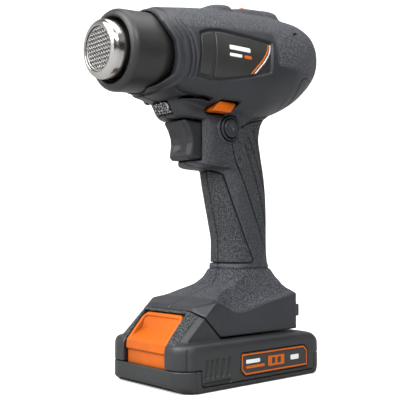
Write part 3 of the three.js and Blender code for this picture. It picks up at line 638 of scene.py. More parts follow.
def metal(name, color, roughness, brushed, tint=None):
    """Metal with fine turning marks, smudges and a little tint from heat."""
    n = Nodes(name)
    smudge = n.noise(60, 5, 0.6)
    stretched = n.add("ShaderNodeMapping", {"Vector": n.place(), "Scale": (240.0, 2600.0, 240.0)})
    lines = n.noise(1.0, 3, 0.6, stretched.outputs["Vector"])
    base = n.mix(n.between(smudge, 0.35, 0.7), color, shade(color, 0.88))
    if tint:
        base = n.mix(n.between(smudge, 0.55, 0.75, 0, 0.35), base, tint)
    rough = n.between(smudge, 0.3, 0.7, roughness * 0.75, roughness * 1.35)
    n.set(Base_Color=base, Metallic=1.0, Roughness=rough, Normal=n.bump(lines, brushed, 0.00002))
    return n.material


def rubber(name, color):
    """Soft grip rubber: matt, with a fine sandy grain."""
    n = Nodes(name)
    grain = n.noise(3400, 4, 0.65)
    base = n.mix(n.between(n.noise(40, 3), 0.35, 0.65), shade(color, 0.88), shade(color, 1.15))
    base = n.mix(n.math("MULTIPLY", n.edge(), 0.6), base, shade(color, 1.6))
    base, normal = sandy(n, base, color, n.bump(grain, 0.7, 0.00007), 0.8)
    # painted shade in grooves, recesses and inner corners
    base = n.shaded_creases(base, color)
    rough = n.between(grain, 0.3, 0.7, 0.55, 0.72)
    n.set(Base_Color=base, Roughness=rough, Normal=normal, Specular_IOR_Level=0.4)
    return n.material


def clear(name, color):
    """The clear ribbed plastic of the work light."""
    n = Nodes(name)
    cells = n.add("ShaderNodeTexVoronoi", {"Scale": 700.0, "Vector": n.place()}).outputs["Distance"]
    prisms = n.between(cells, 0.25, 0.5)
    n.set(
        Base_Color=n.mix(prisms, color, shade(color, 0.06)),
        Roughness=n.between(n.noise(200, 3), 0.3, 0.7, 0.05, 0.16),
        Transmission_Weight=0.45, IOR=1.49, Normal=n.bump(prisms, 0.6, 0.0006),
    )
    return n.material


def wound(name, color, scale, depth):
    """Windings, stacked sheets or threads: fine bands along Y."""
    n = Nodes(name)
    inputs = {"Scale": scale, "Distortion": 0.6, "Detail": 2.0, "Vector": n.place()}
    wave = n.add("ShaderNodeTexWave", inputs, wave_type="BANDS", bands_direction="Y")
    bands = wave.outputs["Fac"]
    base = n.mix(bands, shade(color, 0.55), color)
    rough = n.between(bands, 0, 1, 0.5, 0.3)
    n.set(Base_Color=base, Metallic=0.85, Roughness=rough, Normal=n.bump(bands, 0.6, depth))
    return n.material


def board_material(name):
    """Green circuit board with copper tracks under the mask."""
    n = Nodes(name)
    inputs = {
        "Scale": 260.0, "Mortar Size": 0.03, "Color1": (0.02, 0.13, 0.045), "Color2": (0.025, 0.16, 0.06),
        "Mortar": (0.05, 0.26, 0.09), "Vector": n.place(),
    }
    tracks = n.add("ShaderNodeTexBrick", inputs).outputs["Color"]
    n.set(Base_Color=tracks, Roughness=n.between(n.noise(150, 3), 0.3, 0.7, 0.28, 0.45))
    return n.material


def sleeve(name, color):
    """The printed shrink sleeve of a cell: glossy, with fine wrinkles."""
    n = Nodes(name)
    wrinkles = n.noise(180, 5, 0.6)
    base = n.mix(n.between(wrinkles, 0.4, 0.6), shade(color, 0.8), color)
    rough = n.between(wrinkles, 0.3, 0.7, 0.25, 0.4)
    n.set(Base_Color=base, Roughness=rough, Normal=n.bump(wrinkles, 0.4, 0.0002))
    return n.material


# plastic: name, colour, roughness, grain, lightness of edges.
HOUSING = plastic("housing_plastic", (0.021, 0.0225, 0.0275), 0.42, 0.6, 1.7, stipple=True)
COLLAR = plastic("collar_plastic", (0.021, 0.0205, 0.020), 0.42, 0.5, 1.8)
BADGE_PLASTIC = plastic("badge_plastic", (0.026, 0.027, 0.025), 0.32, 0.5, 1.6)
GRIP = rubber("grip_rubber", (0.017, 0.019, 0.021))
ORANGE = plastic("orange_plastic", (0.53, 0.104, 0.003), 0.42, 0.5, 1.15, shine=0.3)
WHITE_PRINT = plastic("white_print", (0.72, 0.72, 0.70), 0.5, 0.3, 1.05)
TRIGGER_PLASTIC = plastic("trigger_plastic", (0.015, 0.016, 0.018), 0.46, 0.6, 1.8)
PACK_PLASTIC = plastic("pack_plastic", (0.021, 0.0225, 0.0235), 0.42, 0.6, 1.8, stipple=True)
LABEL_PLASTIC = plastic("label_plastic", (0.022, 0.023, 0.024), 0.34, 0.3, 1.5)
MICA = plastic("mica", (0.10, 0.075, 0.05), 0.6, 0.8, 1.1, speckle=0.5)
BLACK = plastic("black_plastic", (0.014, 0.015, 0.016), 0.5, 0.6, 2.2)
# metal: name, colour, roughness, depth of the turning marks, tint.
STEEL = metal("outlet_steel", (0.60, 0.585, 0.56), 0.17, 0.15, (0.60, 0.52, 0.42))
MESH_STEEL = metal("grille_steel", (0.44, 0.43, 0.42), 0.34, 0.3)
BARE_METAL = metal("bare_metal", (0.42, 0.42, 0.42), 0.35, 0.5)
SCREW_STEEL = metal("screw_steel", (0.16, 0.16, 0.17), 0.35, 0.6)
BRASS = metal("brass", (0.66, 0.46, 0.17), 0.28, 0.3)
LENS_CLEAR = clear("lens_clear", (0.93, 0.95, 0.97))
BOARD = board_material("circuit_board")
RED_WIRE = sleeve("red_insulation", (0.42, 0.03, 0.02))
BLACK_WIRE = sleeve("black_insulation", (0.02, 0.02, 0.02))
CELL = sleeve("cell_sleeve", (0.03, 0.19, 0.24))
COIL = wound("heating_wire", (0.45, 0.40, 0.36), 300, 0.0003)
WINDING = wound("armature_winding", (0.50, 0.24, 0.10), 420, 0.0003)
SPRING_STEEL = wound("spring_steel", (0.5, 0.5, 0.52), 160, 0.0002)

# ------------------------------------------------------------------ the housing's form


def gun_form(grid):
    """Distance from the whole grip-and-barrel form, without seams or openings."""
    x, y, z = grid.x, grid.y, grid.z
    form = smooth_min(loft(x, y, z, BARREL, 2.2), loft(x, y, z, RIDGE, 4.0), 1.6)
    handle = loft(x, z, y, HANDLE, curve_through(z, SQUARENESS_Z, SQUARENESS))
    foot = smooth_max(side(grid, FOOT, 1.2), np.abs(x) - FOOT_HALF_WIDTH, 0.8)
    lower = smooth_max(smooth_min(handle, foot, 5.0), foot_flank(grid), 0.9)
    form = smooth_min(form, both_facets(grid, lower), 6.0)
    plan = np.hypot(x, np.minimum(y + THROAT_HALF_WIDTH, 0)) - THROAT_HALF_WIDTH
    throat = smooth_max(side(grid, THROAT, 1.2), plan, 1.2)
    nose = smooth_max(loft(x, z, y, NOSE, 2.6), NOSE_BASE_Z - z, 4.5)
    form = smooth_min(form, smooth_min(throat, nose, 0.8), 1.6)
    return normalised(grid, form)


def foot_flank(grid):
    """Positive outside the foot's flat flanks, whose upper edge dips under the flare of the handle."""
    inward = np.maximum(FOOT_HALF_WIDTH - np.abs(grid.x), 0)
    edge = curve_through(grid.y, FLANK_EDGE_Y, FLANK_EDGE_Z)
    over = 0.75 * (grid.z - edge - 0.3 * inward - 0.0062 * inward ** 3)
    over = np.where(grid.z < FLARE_TOP_Z, over, np.float32(-FAR))
    return np.maximum(over, np.abs(grid.x) - FOOT_HALF_WIDTH)


def recess(field, outline, depth, wall):
    """Sinks the surface inside an outline by a depth, over a sloping wall of some width."""
    return field + depth * ease(-outline / wall)


def groove(field, line, radius, edge=0.4):
    """Cuts a round groove along a line, given the distance from it."""
    return smooth_max(field, radius - np.hypot(field, line), edge)


def grip_field(grid, form, outline, margin=0.0):
    """Where a grip lies: inside its side outline and in the form's skin, or more by the margin."""
    skin = smooth_max(form, -form - GRIP_THICKNESS - margin, 0.5)
    return smooth_max(skin, side(grid, outline, 3.0) - margin, 0.9)


def crease_height(z):
    """1 between the lower and upper ends of the creases round the notch, 0 beyond."""
    return ease((z - 186) / 4) * ease((226 - z) / 6)


def housing_surface(grid, form):
    """The form with its creases, the badge's recess and the shallow relief of the real moulding."""
    x, y, z = np.abs(grid.x), grid.y, grid.z
    notch = side(grid, EDGE_NOTCH, NOTCH_CORNER)
    form = recess(form, notch - NOTCH_RIM, 1.2, 0.6)
    for distance, radius in NOTCH_CREASES:
        form = groove(form, notch - distance, radius * crease_height(z))
    form = recess(form, side(grid, BADGE_RECESS, 1.5), 1.5, 1.3)
    form = groove(form, line_distance(y, z, LIP_CREASE), 0.8)
    form = cut(form, np.maximum(bend_distance(y, z, ARCH_GROOVE) - 0.8, 13.2 - x), 0.3)
    form = groove(form, line_distance(y, z, REAR_CREASE), 0.8)
    form = groove(form, np.abs(z - FLARE_GROOVE_Z), 0.8)
    boss = np.hypot(y - BOSS_CAP[0], z - BOSS_CAP[1])
    pad = smooth_max(boss - (BOSS_CAP_RADIUS + 1.6), slab(x, 8, 16.7), 1.0)
    form = smooth_min(form, pad, 1.2)
    slit = np.maximum(line_distance(y, z, SIDE_SLIT) - 0.6, 20 - x)
    return cut(form, np.maximum(slit, -form - 1.6), 0.4)


def housing_openings(grid):
    """The union of everything cut through the wall, negative inside the openings."""
    x, y, z = np.abs(grid.x), grid.y, grid.z
    radius, along = tipped(grid)
    boss = np.hypot(y - BOSS_CAP[0], z - BOSS_CAP[1])
    slider_y = y - (SLIDER_REST_Y + SLIDER_TRAVEL / 2)
    knob_well = rounded_rect(x, slider_y, 6.5, SLIDER_TRAVEL / 2 + 6, 1.6)
    stem_slot = rounded_rect(x, slider_y, 3, SLIDER_TRAVEL / 2 + 3.2, 1.0)
    head, neck = RAIL_HEAD_HALF_WIDTH + GAP, RAIL_NECK_HALF_WIDTH + GAP
    return union(
        np.maximum(radius - COLLAR_RADIUS - GAP, along - COLLAR_REAR_Y - GAP),
        side(grid, EDGE_NOTCH, NOTCH_CORNER),
        np.maximum(side(grid, TRIGGER_OPENING, 0.8), x - TRIGGER_HALF_WIDTH - GAP),
        side(grid, LOCK_BUTTON, 1.0) - 0.5,
        np.maximum(knob_well, SLIDER_FLOOR_Z - z),
        np.maximum(stem_slot, 240 - z),
        np.maximum(side(grid, LENS_OPENING, 0.6), x - LENS_HALF_WIDTH - GAP),
        box(grid, (-head, -FAR, RAIL_HEAD_Z - 2 * GAP), (head, RAIL_REAR_Y, RAIL_TOP_Z + 2 * GAP)),
        box(grid, (-neck, -FAR, 0), (neck, RAIL_REAR_Y, RAIL_HEAD_Z)),
        np.maximum(boss - BOSS_CAP_RADIUS - GAP, 14.6 - x),
    )


def stipple_mask(x, y, z):
    """1 on the moulding's stippled zones: top, rear upper half, throat, handle and the flare of the foot."""
    top = ease((z - 221 - 0.1 * (y + 10)) / 4) * ease((y + 62) / 16)
    rear = ease((y - 17) / 4) * ease((z - 203) / 3)
    below = ease((176 - z) / 3) * ease((y + 30) / 8) * (0.4 + 1.3 * ease((73 - z) / 3))
    above_flank = ease((z - np.interp(y, FLANK_EDGE_Y, FLANK_EDGE_Z)) / 0.8 + 30 - np.abs(x))
    behind_front_panel = 1 - ease((-36 - y) / 3)
    return np.maximum(np.clip(top + rear, 0, 1), below * above_flank * behind_front_panel)


def painted_shade(near):
    """1 on a line of painted shade, fading out beside it."""
    return 1 - ease((near - 0.3) / 0.6)


def housing_painted_shade(x, y, z):
    """The painted shade in the housing's grooves and creases."""
    notch = outline_distance(y, z, rounded(EDGE_NOTCH, NOTCH_CORNER))
    creases = union(*[np.abs(notch - distance) for distance, _ in NOTCH_CREASES])
    return painted_shade(union(
        creases + 2 * (1 - crease_height(z)),
        bend_distance(y, z, ARCH_GROOVE) - 0.6,
        line_distance(y, z, LIP_CREASE),
        line_distance(y, z, REAR_CREASE),
        np.abs(outline_distance(y, z, rounded(BADGE_RECESS, 1.5)) + 0.7),
        np.abs(notch - NOTCH_RIM + 0.4) + 0.2,
        np.abs(z - FLARE_GROOVE_Z),
    ))


def grip_painted_shade(x, y, z):
    """The painted shade in the rear grip's grooves."""
    return painted_shade(union(*[bend_distance(y, z, line) for line in GRIP_GROOVES]))


def housing_shell(grid, form):
    """The hollow housing with its openings, before it is split."""
    surface = housing_surface(grid, form)
    notch = side(grid, EDGE_NOTCH, NOTCH_CORNER)
    radius, _ = tipped(grid)
    slider_front, slider_rear = SLIDER_REST_Y - 9, SLIDER_REST_Y + SLIDER_TRAVEL + 9
    shell = smooth_max(surface, -form - WALL, 0.8)
    slider_pad = box(grid, (-9, slider_front, SLIDER_FLOOR_Z - 2.4), (9, slider_rear, FAR))
    shell = smooth_min(shell, np.maximum(slider_pad, surface), 0.6)
    strap_lug = box(grid, (22, FOOT_REAR_Y - 2, 38.5), (30.4, FOOT_REAR_Y + 3.6, 46.5))
    shell = smooth_min(shell, strap_lug, 1.0)
    ring_rim = common(surface, notch - 4.0, COLLAR_RADIUS + GAP - radius)
    shell = smooth_min(shell, ring_rim, 0.5)
    for y, z in SCREWS:
        boss = np.hypot(grid.y - y, grid.z - z) - 3.9
        shell = smooth_min(shell, smooth_max(boss, surface, 0.6), 0.8)
    shell = cut(shell, housing_openings(grid), 0.9)
    for outline in (FRONT_GRIP, REAR_GRIP):
        shell = cut(shell, grip_field(grid, form, outline, 2 * GAP), 0.5)
    return shell


def housing():
    """Both half shells, split on the middle plane, and the rear cover with its intake slots."""
    step = 0.6
    grid = Grid((-2 * step, -84, 24), (42, 92, 256), step)
    form = gun_form(grid)
    cover_edge = side(grid, REAR_COVER, 3.0)
    shell = smooth_max(housing_shell(grid, form), GAP / 2 - cover_edge, 0.9)
    shell = smooth_max(shell, GAP / 2 - grid.x, 0.7)
    # the second mask paints shade into the housing's grooves and creases
    masks = {"stipple": stipple_mask, "painted_shade": housing_painted_shade}
    moulded("housing_left", grid, shell, "housing", HOUSING, 195000, masks=masks)
    for k, (y, z) in enumerate(SCREWS):
        well = np.hypot(grid.y - y, grid.z - z)
        shell = cut(shell, np.maximum(well - SCREW_HEAD_RADIUS - GAP, screw_seat(k) - grid.x), 0.5)
        shell = cut(shell, np.maximum(well - SHANK_RADIUS - GAP, 10.5 - grid.x), 0.3)
    moulded("housing_right", grid, shell, "housing", HOUSING, 195000, mirror=True, masks=masks)

    cover = smooth_max(smooth_max(form, -form - WALL, 0.8), cover_edge + GAP / 2, 0.9)
    for k in range(4):
        slot_y = 54.4 + 5.5 * k
        cover = cut(cover, rounded_rect(grid.x, grid.y - slot_y, 15, 1.4, 1.3), 0.7)
    moulded("rear_cover", *whole(grid, cover), "housing", HOUSING, 80000)


def screw_seat(k):
    """How far out on the right flank a screw's head rests."""
    low, _ = cad_box("housing_screw_%d" % (k + 1))
    return -low[0] - SCREW_HEAD_HEIGHT


def grips():
    """The soft grips, with three bent grooves in the rear ones and screw holes in the right ones."""
    step = 0.5
    grid = Grid((-2 * step, -34, 68), (20, 52, 178), step)
    form = gun_form(grid)
    openings = housing_openings(grid)
    for name, outline, lines in (("grip_front_", FRONT_GRIP, []), ("grip_rear_", REAR_GRIP, GRIP_GROOVES)):
        skin = form
        for line in lines:
            skin = groove(skin, bend_distance(grid.y, grid.z, line), 1.0)
        pad = smooth_max(grip_field(grid, form, outline), skin, 0.4)
        pad = smooth_max(pad, GAP - openings, 0.6)
        pad = smooth_max(pad, GAP / 2 - grid.x, 0.6)
        # the mask paints shade into the rear grip's grooves
        masks = {"painted_shade": grip_painted_shade} if lines else None
        moulded(name + "left", grid, pad, "housing", GRIP, 50000, masks=masks)
        for y, z in SCREWS:
            pad = smooth_max(pad, SCREW_HEAD_RADIUS + 2 * GAP - np.hypot(grid.y - y, grid.z - z), 0.6)
        moulded(name + "right", grid, pad, "housing", GRIP, 50000, mirror=True, masks=masks)


def badges():
    """The side plates in their recesses, with a double stripe and plain bars on each."""
    grid = Grid((24, -52, 186), (40, 20, 224), 0.35)
    y, z = grid.y, grid.z
    form = gun_form(grid)
    edge = side(grid, BADGE, 1.2)
    plate = smooth_max(form + 0.8, -form - 1.9, 0.3)
    plate = smooth_max(plate, np.minimum(edge, side(grid, BADGE_STRIP, 1.5)), 0.6)
    print_skin = smooth_max(form + 0.6, -form - 1.3, 0.1)
    inside = np.maximum(print_skin, edge + 0.5)
    stripe = bend_distance(y, z, BADGE_STRIPE, 12)
    long_bars = np.minimum(
        rounded_rect(y + 14.5, z - 209.8, 8.5, 1.5, 0.7), rounded_rect(y + 18, z - 205.2, 5.0, 1.1, 0.7)
    )
    short_bar = rounded_rect(y + 8, z - 205.2, 3.2, 1.1, 0.7)
    for flank, sign in FLANKS:
        for name, field, material, budget in (
            ("badge_", plate, BADGE_PLASTIC, 60000),
            ("badge_stripe_orange_", np.maximum(inside, np.abs(stripe - 3.0) - 0.62), ORANGE, 12000),
            ("badge_stripe_white_", np.maximum(inside, np.abs(stripe - 1.3) - 0.5), WHITE_PRINT, 12000),
            ("badge_bars_white_", np.maximum(print_skin, long_bars), WHITE_PRINT, 12000),
            ("badge_bar_orange_", np.maximum(print_skin, short_bar), ORANGE, 12000),
        ):
            moulded(name + flank, grid, field, "housing", material, budget, mirror=sign < 0)


# ------------------------------------------------------------------ outlet


def outlet():
    """Guard ring and bull-nosed steel tube, both on the tipped axis."""
    radius, bore, front, rear = COLLAR_RADIUS, COLLAR_BORE, COLLAR_FRONT_Y, COLLAR_REAR_Y
    sleeve_radius = NOZZLE_RADIUS + GAP
    collar = [(bore, COLLAR_SEAT_Y), (bore, front + 0.9), (bore + 0.15, front + 0.45)]
    collar += [(bore + 0.5, front + 0.18), (bore + 0.8, front + 0.1)]
    collar += arc((radius - 4.4, front + 4.4), 4.4, -84, 0, 10)
    collar += [(radius, front + 12), (radius, -66), (radius, rear + 0.5), (radius - 0.5, rear)]
    collar += [(sleeve_radius, rear), (sleeve_radius, COLLAR_SEAT_Y)]
    turned("front_collar", COLLAR, collar, 160, on_outlet_axis)

    radius, bore, front, rear = NOZZLE_RADIUS, NOZZLE_BORE, NOZZLE_FRONT_Y, NOZZLE_REAR_Y
    tube = [(NOZZLE_FLANGE, rear - 1.2), (radius + 0.3, rear - 1.2), (radius, rear - 1.8)]
    tube += [(radius, y) for y in (-45, -70, -84)]
    tube += arc((radius - LIP_RADIUS, front + LIP_RADIUS), LIP_RADIUS, 0, -90, 14)
    tube += [(radius - LIP_RADIUS - 0.1, front + 0.12), (GRILLE_RADIUS + 0.15, front + 0.5)]
    tube += [(GRILLE_RADIUS + 0.2, front + 2.6), (bore - 0.8, front + 5), (bore, front + 7)]
    tube += [(bore, rear - 0.4), (bore + 0.2, rear), (NOZZLE_FLANGE, rear)]
    turned("nozzle_tube", STEEL, tube, 160, on_outlet_axis)


def grille():
    """Two layers of wires that pass over and under each other at 45 degrees, in a ring."""
    reach = GRILLE_RADIUS - 0.4
    rim_radius = 0.45
    wave_height = 0.34
    plane_y = NOZZLE_FRONT_Y + 1.5
    turn = math.radians(45)
    sides = 6
    count = int(reach / GRILLE_PITCH)
    points, faces = [], []
    for layer in (0, 1):
        for k in range(-count, count + 1):
            offset = k * GRILLE_PITCH
            half = math.sqrt(reach ** 2 - offset ** 2)
            steps = max(4, int(2 * half / 0.3))
            start = len(points)
            for i in range(steps + 1):
                s = -half + 2 * half * i / steps
                wave = wave_height * math.cos(math.pi * (s / GRILLE_PITCH + k + layer))
                for j in range(sides):
                    angle = 2 * math.pi * j / sides
                    across = offset + WIRE_RADIUS * math.cos(angle)
                    depth = plane_y + wave + WIRE_RADIUS * math.sin(angle)
                    u, v = (s, across) if layer == 0 else (across, s)
                    x = u * math.cos(turn) - v * math.sin(turn)
                    points.append(tip(x, depth, BARREL_Z + u * math.sin(turn) + v * math.cos(turn)))
            for i in range(steps):
                for j in range(sides):
                    a = start + i * sides + j
                    b = start + i * sides + (j + 1) % sides
                    quad = (a, b, b + sides, a + sides)
                    faces.append(quad if layer else quad[::-1])
    rim = [
        (GRILLE_RADIUS - rim_radius + rim_radius * math.cos(a), plane_y + rim_radius * math.sin(a))
        for a in np.linspace(0, 2 * math.pi, 8, endpoint=False)
    ]
    rim_points, rim_faces = revolve(rim, 96, on_outlet_axis)
    faces += [tuple(i + len(points) for i in face) for face in rim_faces]
    obj = new_object("nozzle_grille", points + rim_points, faces)
    finish_piece(obj, "nozzle_grille", "housing", MESH_STEEL)


# ------------------------------------------------------------------ controls


def trigger():
    """The trigger, with a shallow finger hollow between two creases and a bore for its plunger."""
    grid = Grid((-14, -42, 139), (14, -19, 170), 0.35)
    x, y, z = np.abs(grid.x), grid.y, grid.z
    hollow = 1.3 * ease(1 - x / 8.5) * ease((163 - z) / 10) * ease((z - 145) / 3)
    body = smooth_max(side(grid, TRIGGER, 1.6) + hollow, x - TRIGGER_HALF_WIDTH, 3.2)
    body = groove(body, np.abs(x - 8.2), 0.5, edge=0.3)
    plunger_bore = np.maximum(np.hypot(x, z - 153.5) - 3.6, -26 - y)
    moulded("trigger", grid, cut(body, plunger_bore, 0.4), "trigger", TRIGGER_PLASTIC, 40000)


def lock_off_bar():
    """A button on each flank, joined by a thin bar across the gun."""
    grid = Grid((-23, -33, 167), (28, -2, 181), 0.4)
    outline = side(grid, LOCK_BUTTON, 0.9)
    left = smooth_max(outline, slab(grid.x, BUTTON_INNER_X, BUTTON_LEFT_X), 0.8)
    right = smooth_max(outline, slab(grid.x, BUTTON_RIGHT_X, -BUTTON_INNER_X), 0.8)
    bar = box(grid, (-17, -23, 171.6), (17, -18, 174.2))
    body = smooth_min(np.minimum(left, right), bar, 0.5)
    moulded("lock_off_bar", grid, body, "lock_off", ORANGE, 30000)


def mode_slider():
    """A ribbed knob on a stem."""
    grid = Grid((-8, 14, 236), (8, 27, 252), 0.3)
    y = grid.y - SLIDER_REST_Y
    ribbed_crown = SLIDER_CROWN_Z + 0.3 * np.cos(2 * math.pi * y / 2.4)
    knob = rounded_rect(grid.x, y, 5.4, 3.6, 1.2)
    knob = smooth_max(knob, slab(grid.z, SLIDER_FLOOR_Z + GAP, ribbed_crown), 0.8)
    stem = box(grid, (-2.6, SLIDER_REST_Y - 2.6, 238), (2.6, SLIDER_REST_Y + 2.6, SLIDER_FLOOR_Z + 1))
    moulded("mode_slider", grid, smooth_min(knob, stem, 0.3), "heat_slider", ORANGE, 20000)


def lens():
    """The work light's lens, ribbed across its width."""
    grid = Grid((-10, -56, 164), (10, -38, 178), 0.3)
    ribs = 0.2 + 0.2 * np.cos(2 * math.pi * grid.x / 1.6)
    body = smooth_max(side(grid, LENS, 0.8) + ribs, np.abs(grid.x) - LENS_HALF_WIDTH, 0.7)
    moulded("work_light_lens", grid, body, "housing", LENS_CLEAR, 20000)


def boss_caps():
    """Round caps behind the trigger, with a ring groove."""
    r = BOSS_CAP_RADIUS
    profile = [(0.01, 15.2), (0.01, 18.1), (r - 3.0, 18.2), (r - 2.5, 18.0), (r - 2.3, 17.5), (r - 2.2, 16.0)]
    profile += [(r - 1.2, 16.0), (r - 1.1, 17.4), (r - 0.7, 17.8), (r - 0.3, 17.6), (r, 17.0), (r, 15.0)]
    profile += [(r - 2.0, 15.0), (r - 4.0, 15.1)]
    for flank, sign in FLANKS:
        turned("boss_cap_" + flank, HOUSING, profile, 48, across(sign, *BOSS_CAP))


def screws():
    """Button heads with a six-lobed socket, and a plain shank into the other half."""
    lobes = 6
    socket_rows = (1, 2, 3, 4)
    socket = [(1.2, 1.1), (1.35, 1.2), (1.4, 2.3), (1.5, 2.55)]
    r = SCREW_HEAD_RADIUS
    head = [(2.2, 2.5), (2.8, 2.1), (r, 1.5), (r, 0.3), (r - 0.2, 0.15), (SHANK_RADIUS, 0.15)]
    for k, (y, z) in enumerate(SCREWS):
        seat = screw_seat(k)
        profile = [(radius, seat + height) for radius, height in [(0.01, 1.1), *socket, *head]]
        profile += [(SHANK_RADIUS, seat - 2), (SHANK_RADIUS, -9), (1.1, -9.5), (0.01, -9.5)]
        name = "housing_screw_%d" % (k + 1)
        turned(name, SCREW_STEEL, profile, 36, across(-1, y, z), lobes, socket_rows)


# ------------------------------------------------------------------ battery pack


def pack_plan(grid, inset_x=0.0, inset_y=0.0, corner=PACK_CORNER, middle_y=0.0):
    """The pack's outline from above, or a smaller one inside it."""
    half_width, half_length = PACK_HALF_WIDTH - inset_x, PACK_HALF_LENGTH - inset_y
    return rounded_rect(grid.x, grid.y - middle_y, half_width, half_length, corner)


def cheeks(grid, margin):
    """The part of the upper case that reaches down over the lower one on both flanks."""
    edge = rounded_rect(grid.y - 2, grid.z - 15, 50 + margin, 15 - CHEEK_BASE_Z + margin, 2.4)
    return np.maximum(edge, 35.6 - margin - np.abs(grid.x))


def lower_case():
    """The tray of the pack, with chamfers below its front, rear and front corners."""
    grid = Grid((-40, -66, -2), (40, 66, 16), 0.5)
    z = grid.z
    body = smooth_max(pack_plan(grid), -z, 2.2)
    body = smooth_max(body, plane(grid, (0, -PACK_HALF_LENGTH + 5.5, 0), (0, -0.6, -0.8)), 1.2)
    body = smooth_max(body, plane(grid, (0, PACK_HALF_LENGTH - 4.5, 0), (0, 0.8, -1)), 5.0)
    for _, sign in FLANKS:
        corner = (sign * (PACK_HALF_WIDTH - 6), -PACK_HALF_LENGTH + 6, 0)
        body = smooth_max(body, plane(grid, corner, (sign * 0.6, -0.6, -0.9)), 0.8)
    body = smooth_max(body, z - (PACK_SEAM_Z - GAP / 2), 0.7)
    body = cut(body, np.maximum(pack_plan(grid, 4.6, 2.4, 9), 2 - z), 0.5)
    body = cut(body, cheeks(grid, GAP), 0.8)
    for y in (-52, 57):
        body = groove(body, np.abs(grid.y - y), 0.4)
    moulded("pack_lower_case", grid, body, "pack", PACK_PLASTIC, 90000)


def tower_stipple(x, y, z):
    """Strips of the tower on both sides of the latch."""
    return 2 * ease((z - 28) / 1.5) * ease((28 - np.abs(x)) / 1.0) * ease((-28 - y) / 2)


def upper_case():
    """The pack's top with its tower, rails and latch well, and grip grooves in its flanks."""
    grid = Grid((-40, -66, 1), (40, 66, 49), 0.5)
    x, y, z = np.abs(grid.x), grid.y, grid.z
    plan = pack_plan(grid)
    profile = side(grid, PACK_SIDE, 3.0)
    body = smooth_max(smooth_max(plan, z - PACK_TOP_Z, 7.0), profile, 3.0)
    body = smooth_max(body, PACK_SEAM_Z + GAP / 2 - z, 0.7)
    inner_top = np.minimum(profile + 2.2, box(grid, (-FAR, -FAR, 0), (FAR, 50, 25)))
    hollow = common(pack_plan(grid, 2.4, 6.4, 9, 4), z - PACK_TOP_Z + 2.2, inner_top)
    body = cut(body, hollow, 0.5)
    body = smooth_min(body, smooth_max(np.maximum(cheeks(grid, 0), z - 20), plan, 0.8), 0.4)
    tower = smooth_max(side(grid, TOWER, 1.2), x - FOOT_HALF_WIDTH, 0.8)
    body = smooth_min(body, both_facets(grid, tower), 0.9)
    for half_width, base in ((RAIL_NECK_HALF_WIDTH, 28), (RAIL_HEAD_HALF_WIDTH, RAIL_HEAD_Z)):
        rail = box(grid, (-half_width, RAIL_FRONT_Y, base), (half_width, RAIL_STOP_Y, RAIL_TOP_Z))
        body = np.minimum(body, rail)
    blade_slots = np.maximum(slab(x, 9 - 1.6, 9 + 1.6), box(grid, (-FAR, -11, 32.4), (FAR, 6, 60)))
    body = np.maximum(body, -blade_slots)
    body = cut(body, np.maximum(side(grid, LATCH_WELL, 0.8), x - LATCH_HALF_WIDTH - 0.4), 0.8)
    label_seat = np.maximum(side(grid, LABEL, 1.2) - GAP, PACK_HALF_WIDTH - 1.2 - x)
    body = cut(body, label_seat, 0.5)
    flank = np.abs(x - PACK_HALF_WIDTH)
    for groove_y in (-44.6, -40.6, -36.6, -31.7, -26.8):
        line = line_distance(y, z, [(groove_y, 9.2), (groove_y + 0.6, 18.0)])
        body = smooth_max(body, 1.15 - np.hypot(line, flank), 0.3)
    long_line = line_distance(y, z, [(-46, 4.9), (-25.5, 5.2)])
    body = smooth_max(body, 1.2 - np.hypot(long_line, flank), 0.3)
    shoulder = np.hypot(y + 57.5, np.maximum(27 - x, 0))
    body = smooth_max(body, 0.8 - np.hypot(shoulder, plan), 0.4)
    moulded("pack_upper_case", grid, body, "pack", PACK_PLASTIC, 150000, masks={"stipple": tower_stipple})


def labels():
    """A plate on each flank with an orange border and plain bars instead of print."""
    grid = Grid((36, -19, 4), (39.2, 48, 23), 0.3)
    edge = side(grid, LABEL, 1.0)
    raised = slab(grid.x, PACK_HALF_WIDTH - 0.5, PACK_HALF_WIDTH + 0.12)
    border = smooth_max(np.abs(edge + 1.1) - 0.5, raised, 0.15)
    plate = smooth_max(edge, slab(grid.x, PACK_HALF_WIDTH - 0.9, PACK_HALF_WIDTH - 0.1), 0.3)
    plate = cut(plate, border, 0.1)

    def bar(y, z, half_length, half_height, corner=0.6):
        return rounded_rect(grid.y - y, grid.z - z, half_length, half_height, corner)

    white = np.minimum(bar(-6, 14.8, 6.2, 1.2), bar(32.5, 13.4, 4.0, 1.6))
    orange = np.minimum(bar(-4, 11.4, 8.2, 0.9), bar(15, 13.2, 7.6, 3.2))
    slots = np.minimum(bar(12.4, 13.2, 1.5, 1.9, 0.5), bar(17.6, 13.2, 1.5, 1.9, 0.5))
    for flank, sign in FLANKS:
        for name, field, material in (
            ("pack_label_", plate, LABEL_PLASTIC),
            ("label_border_", border, ORANGE),
            ("label_bars_white_", np.maximum(white, raised), WHITE_PRINT),
            ("label_bars_orange_", common(orange, raised, -slots), ORANGE),
        ):
            moulded(name + flank, grid, field, "pack", material, 20000, mirror=sign < 0)


def latch():
    """The thumb latch, with chamfered upper corners and a scoop for the thumb."""
    grid = Grid((-22, -64, 10), (22, -42, 47), 0.35)
    x, z = np.abs(grid.x), grid.z

    def corner_chamfer(height):
        return 0.7 * (x + z - LATCH_HALF_WIDTH - height)

    body = smooth_max(side(grid, LATCH, 1.2), x - LATCH_HALF_WIDTH, 1.6)
    body = smooth_max(body, corner_chamfer(40.6), 0.8)
    scoop_half_width = LATCH_HALF_WIDTH - 2.6 + 0.06 * (z - 36)
    scoop = smooth_max(side(grid, LATCH_SCOOP, 1.4), x - scoop_half_width, 0.9)
    scoop = smooth_max(scoop, corner_chamfer(38.2), 0.8)
    moulded("pack_latch", grid, cut(body, scoop, 0.5), "latch", ORANGE, 60000)


# ------------------------------------------------------------------ carried-over CAD nodes


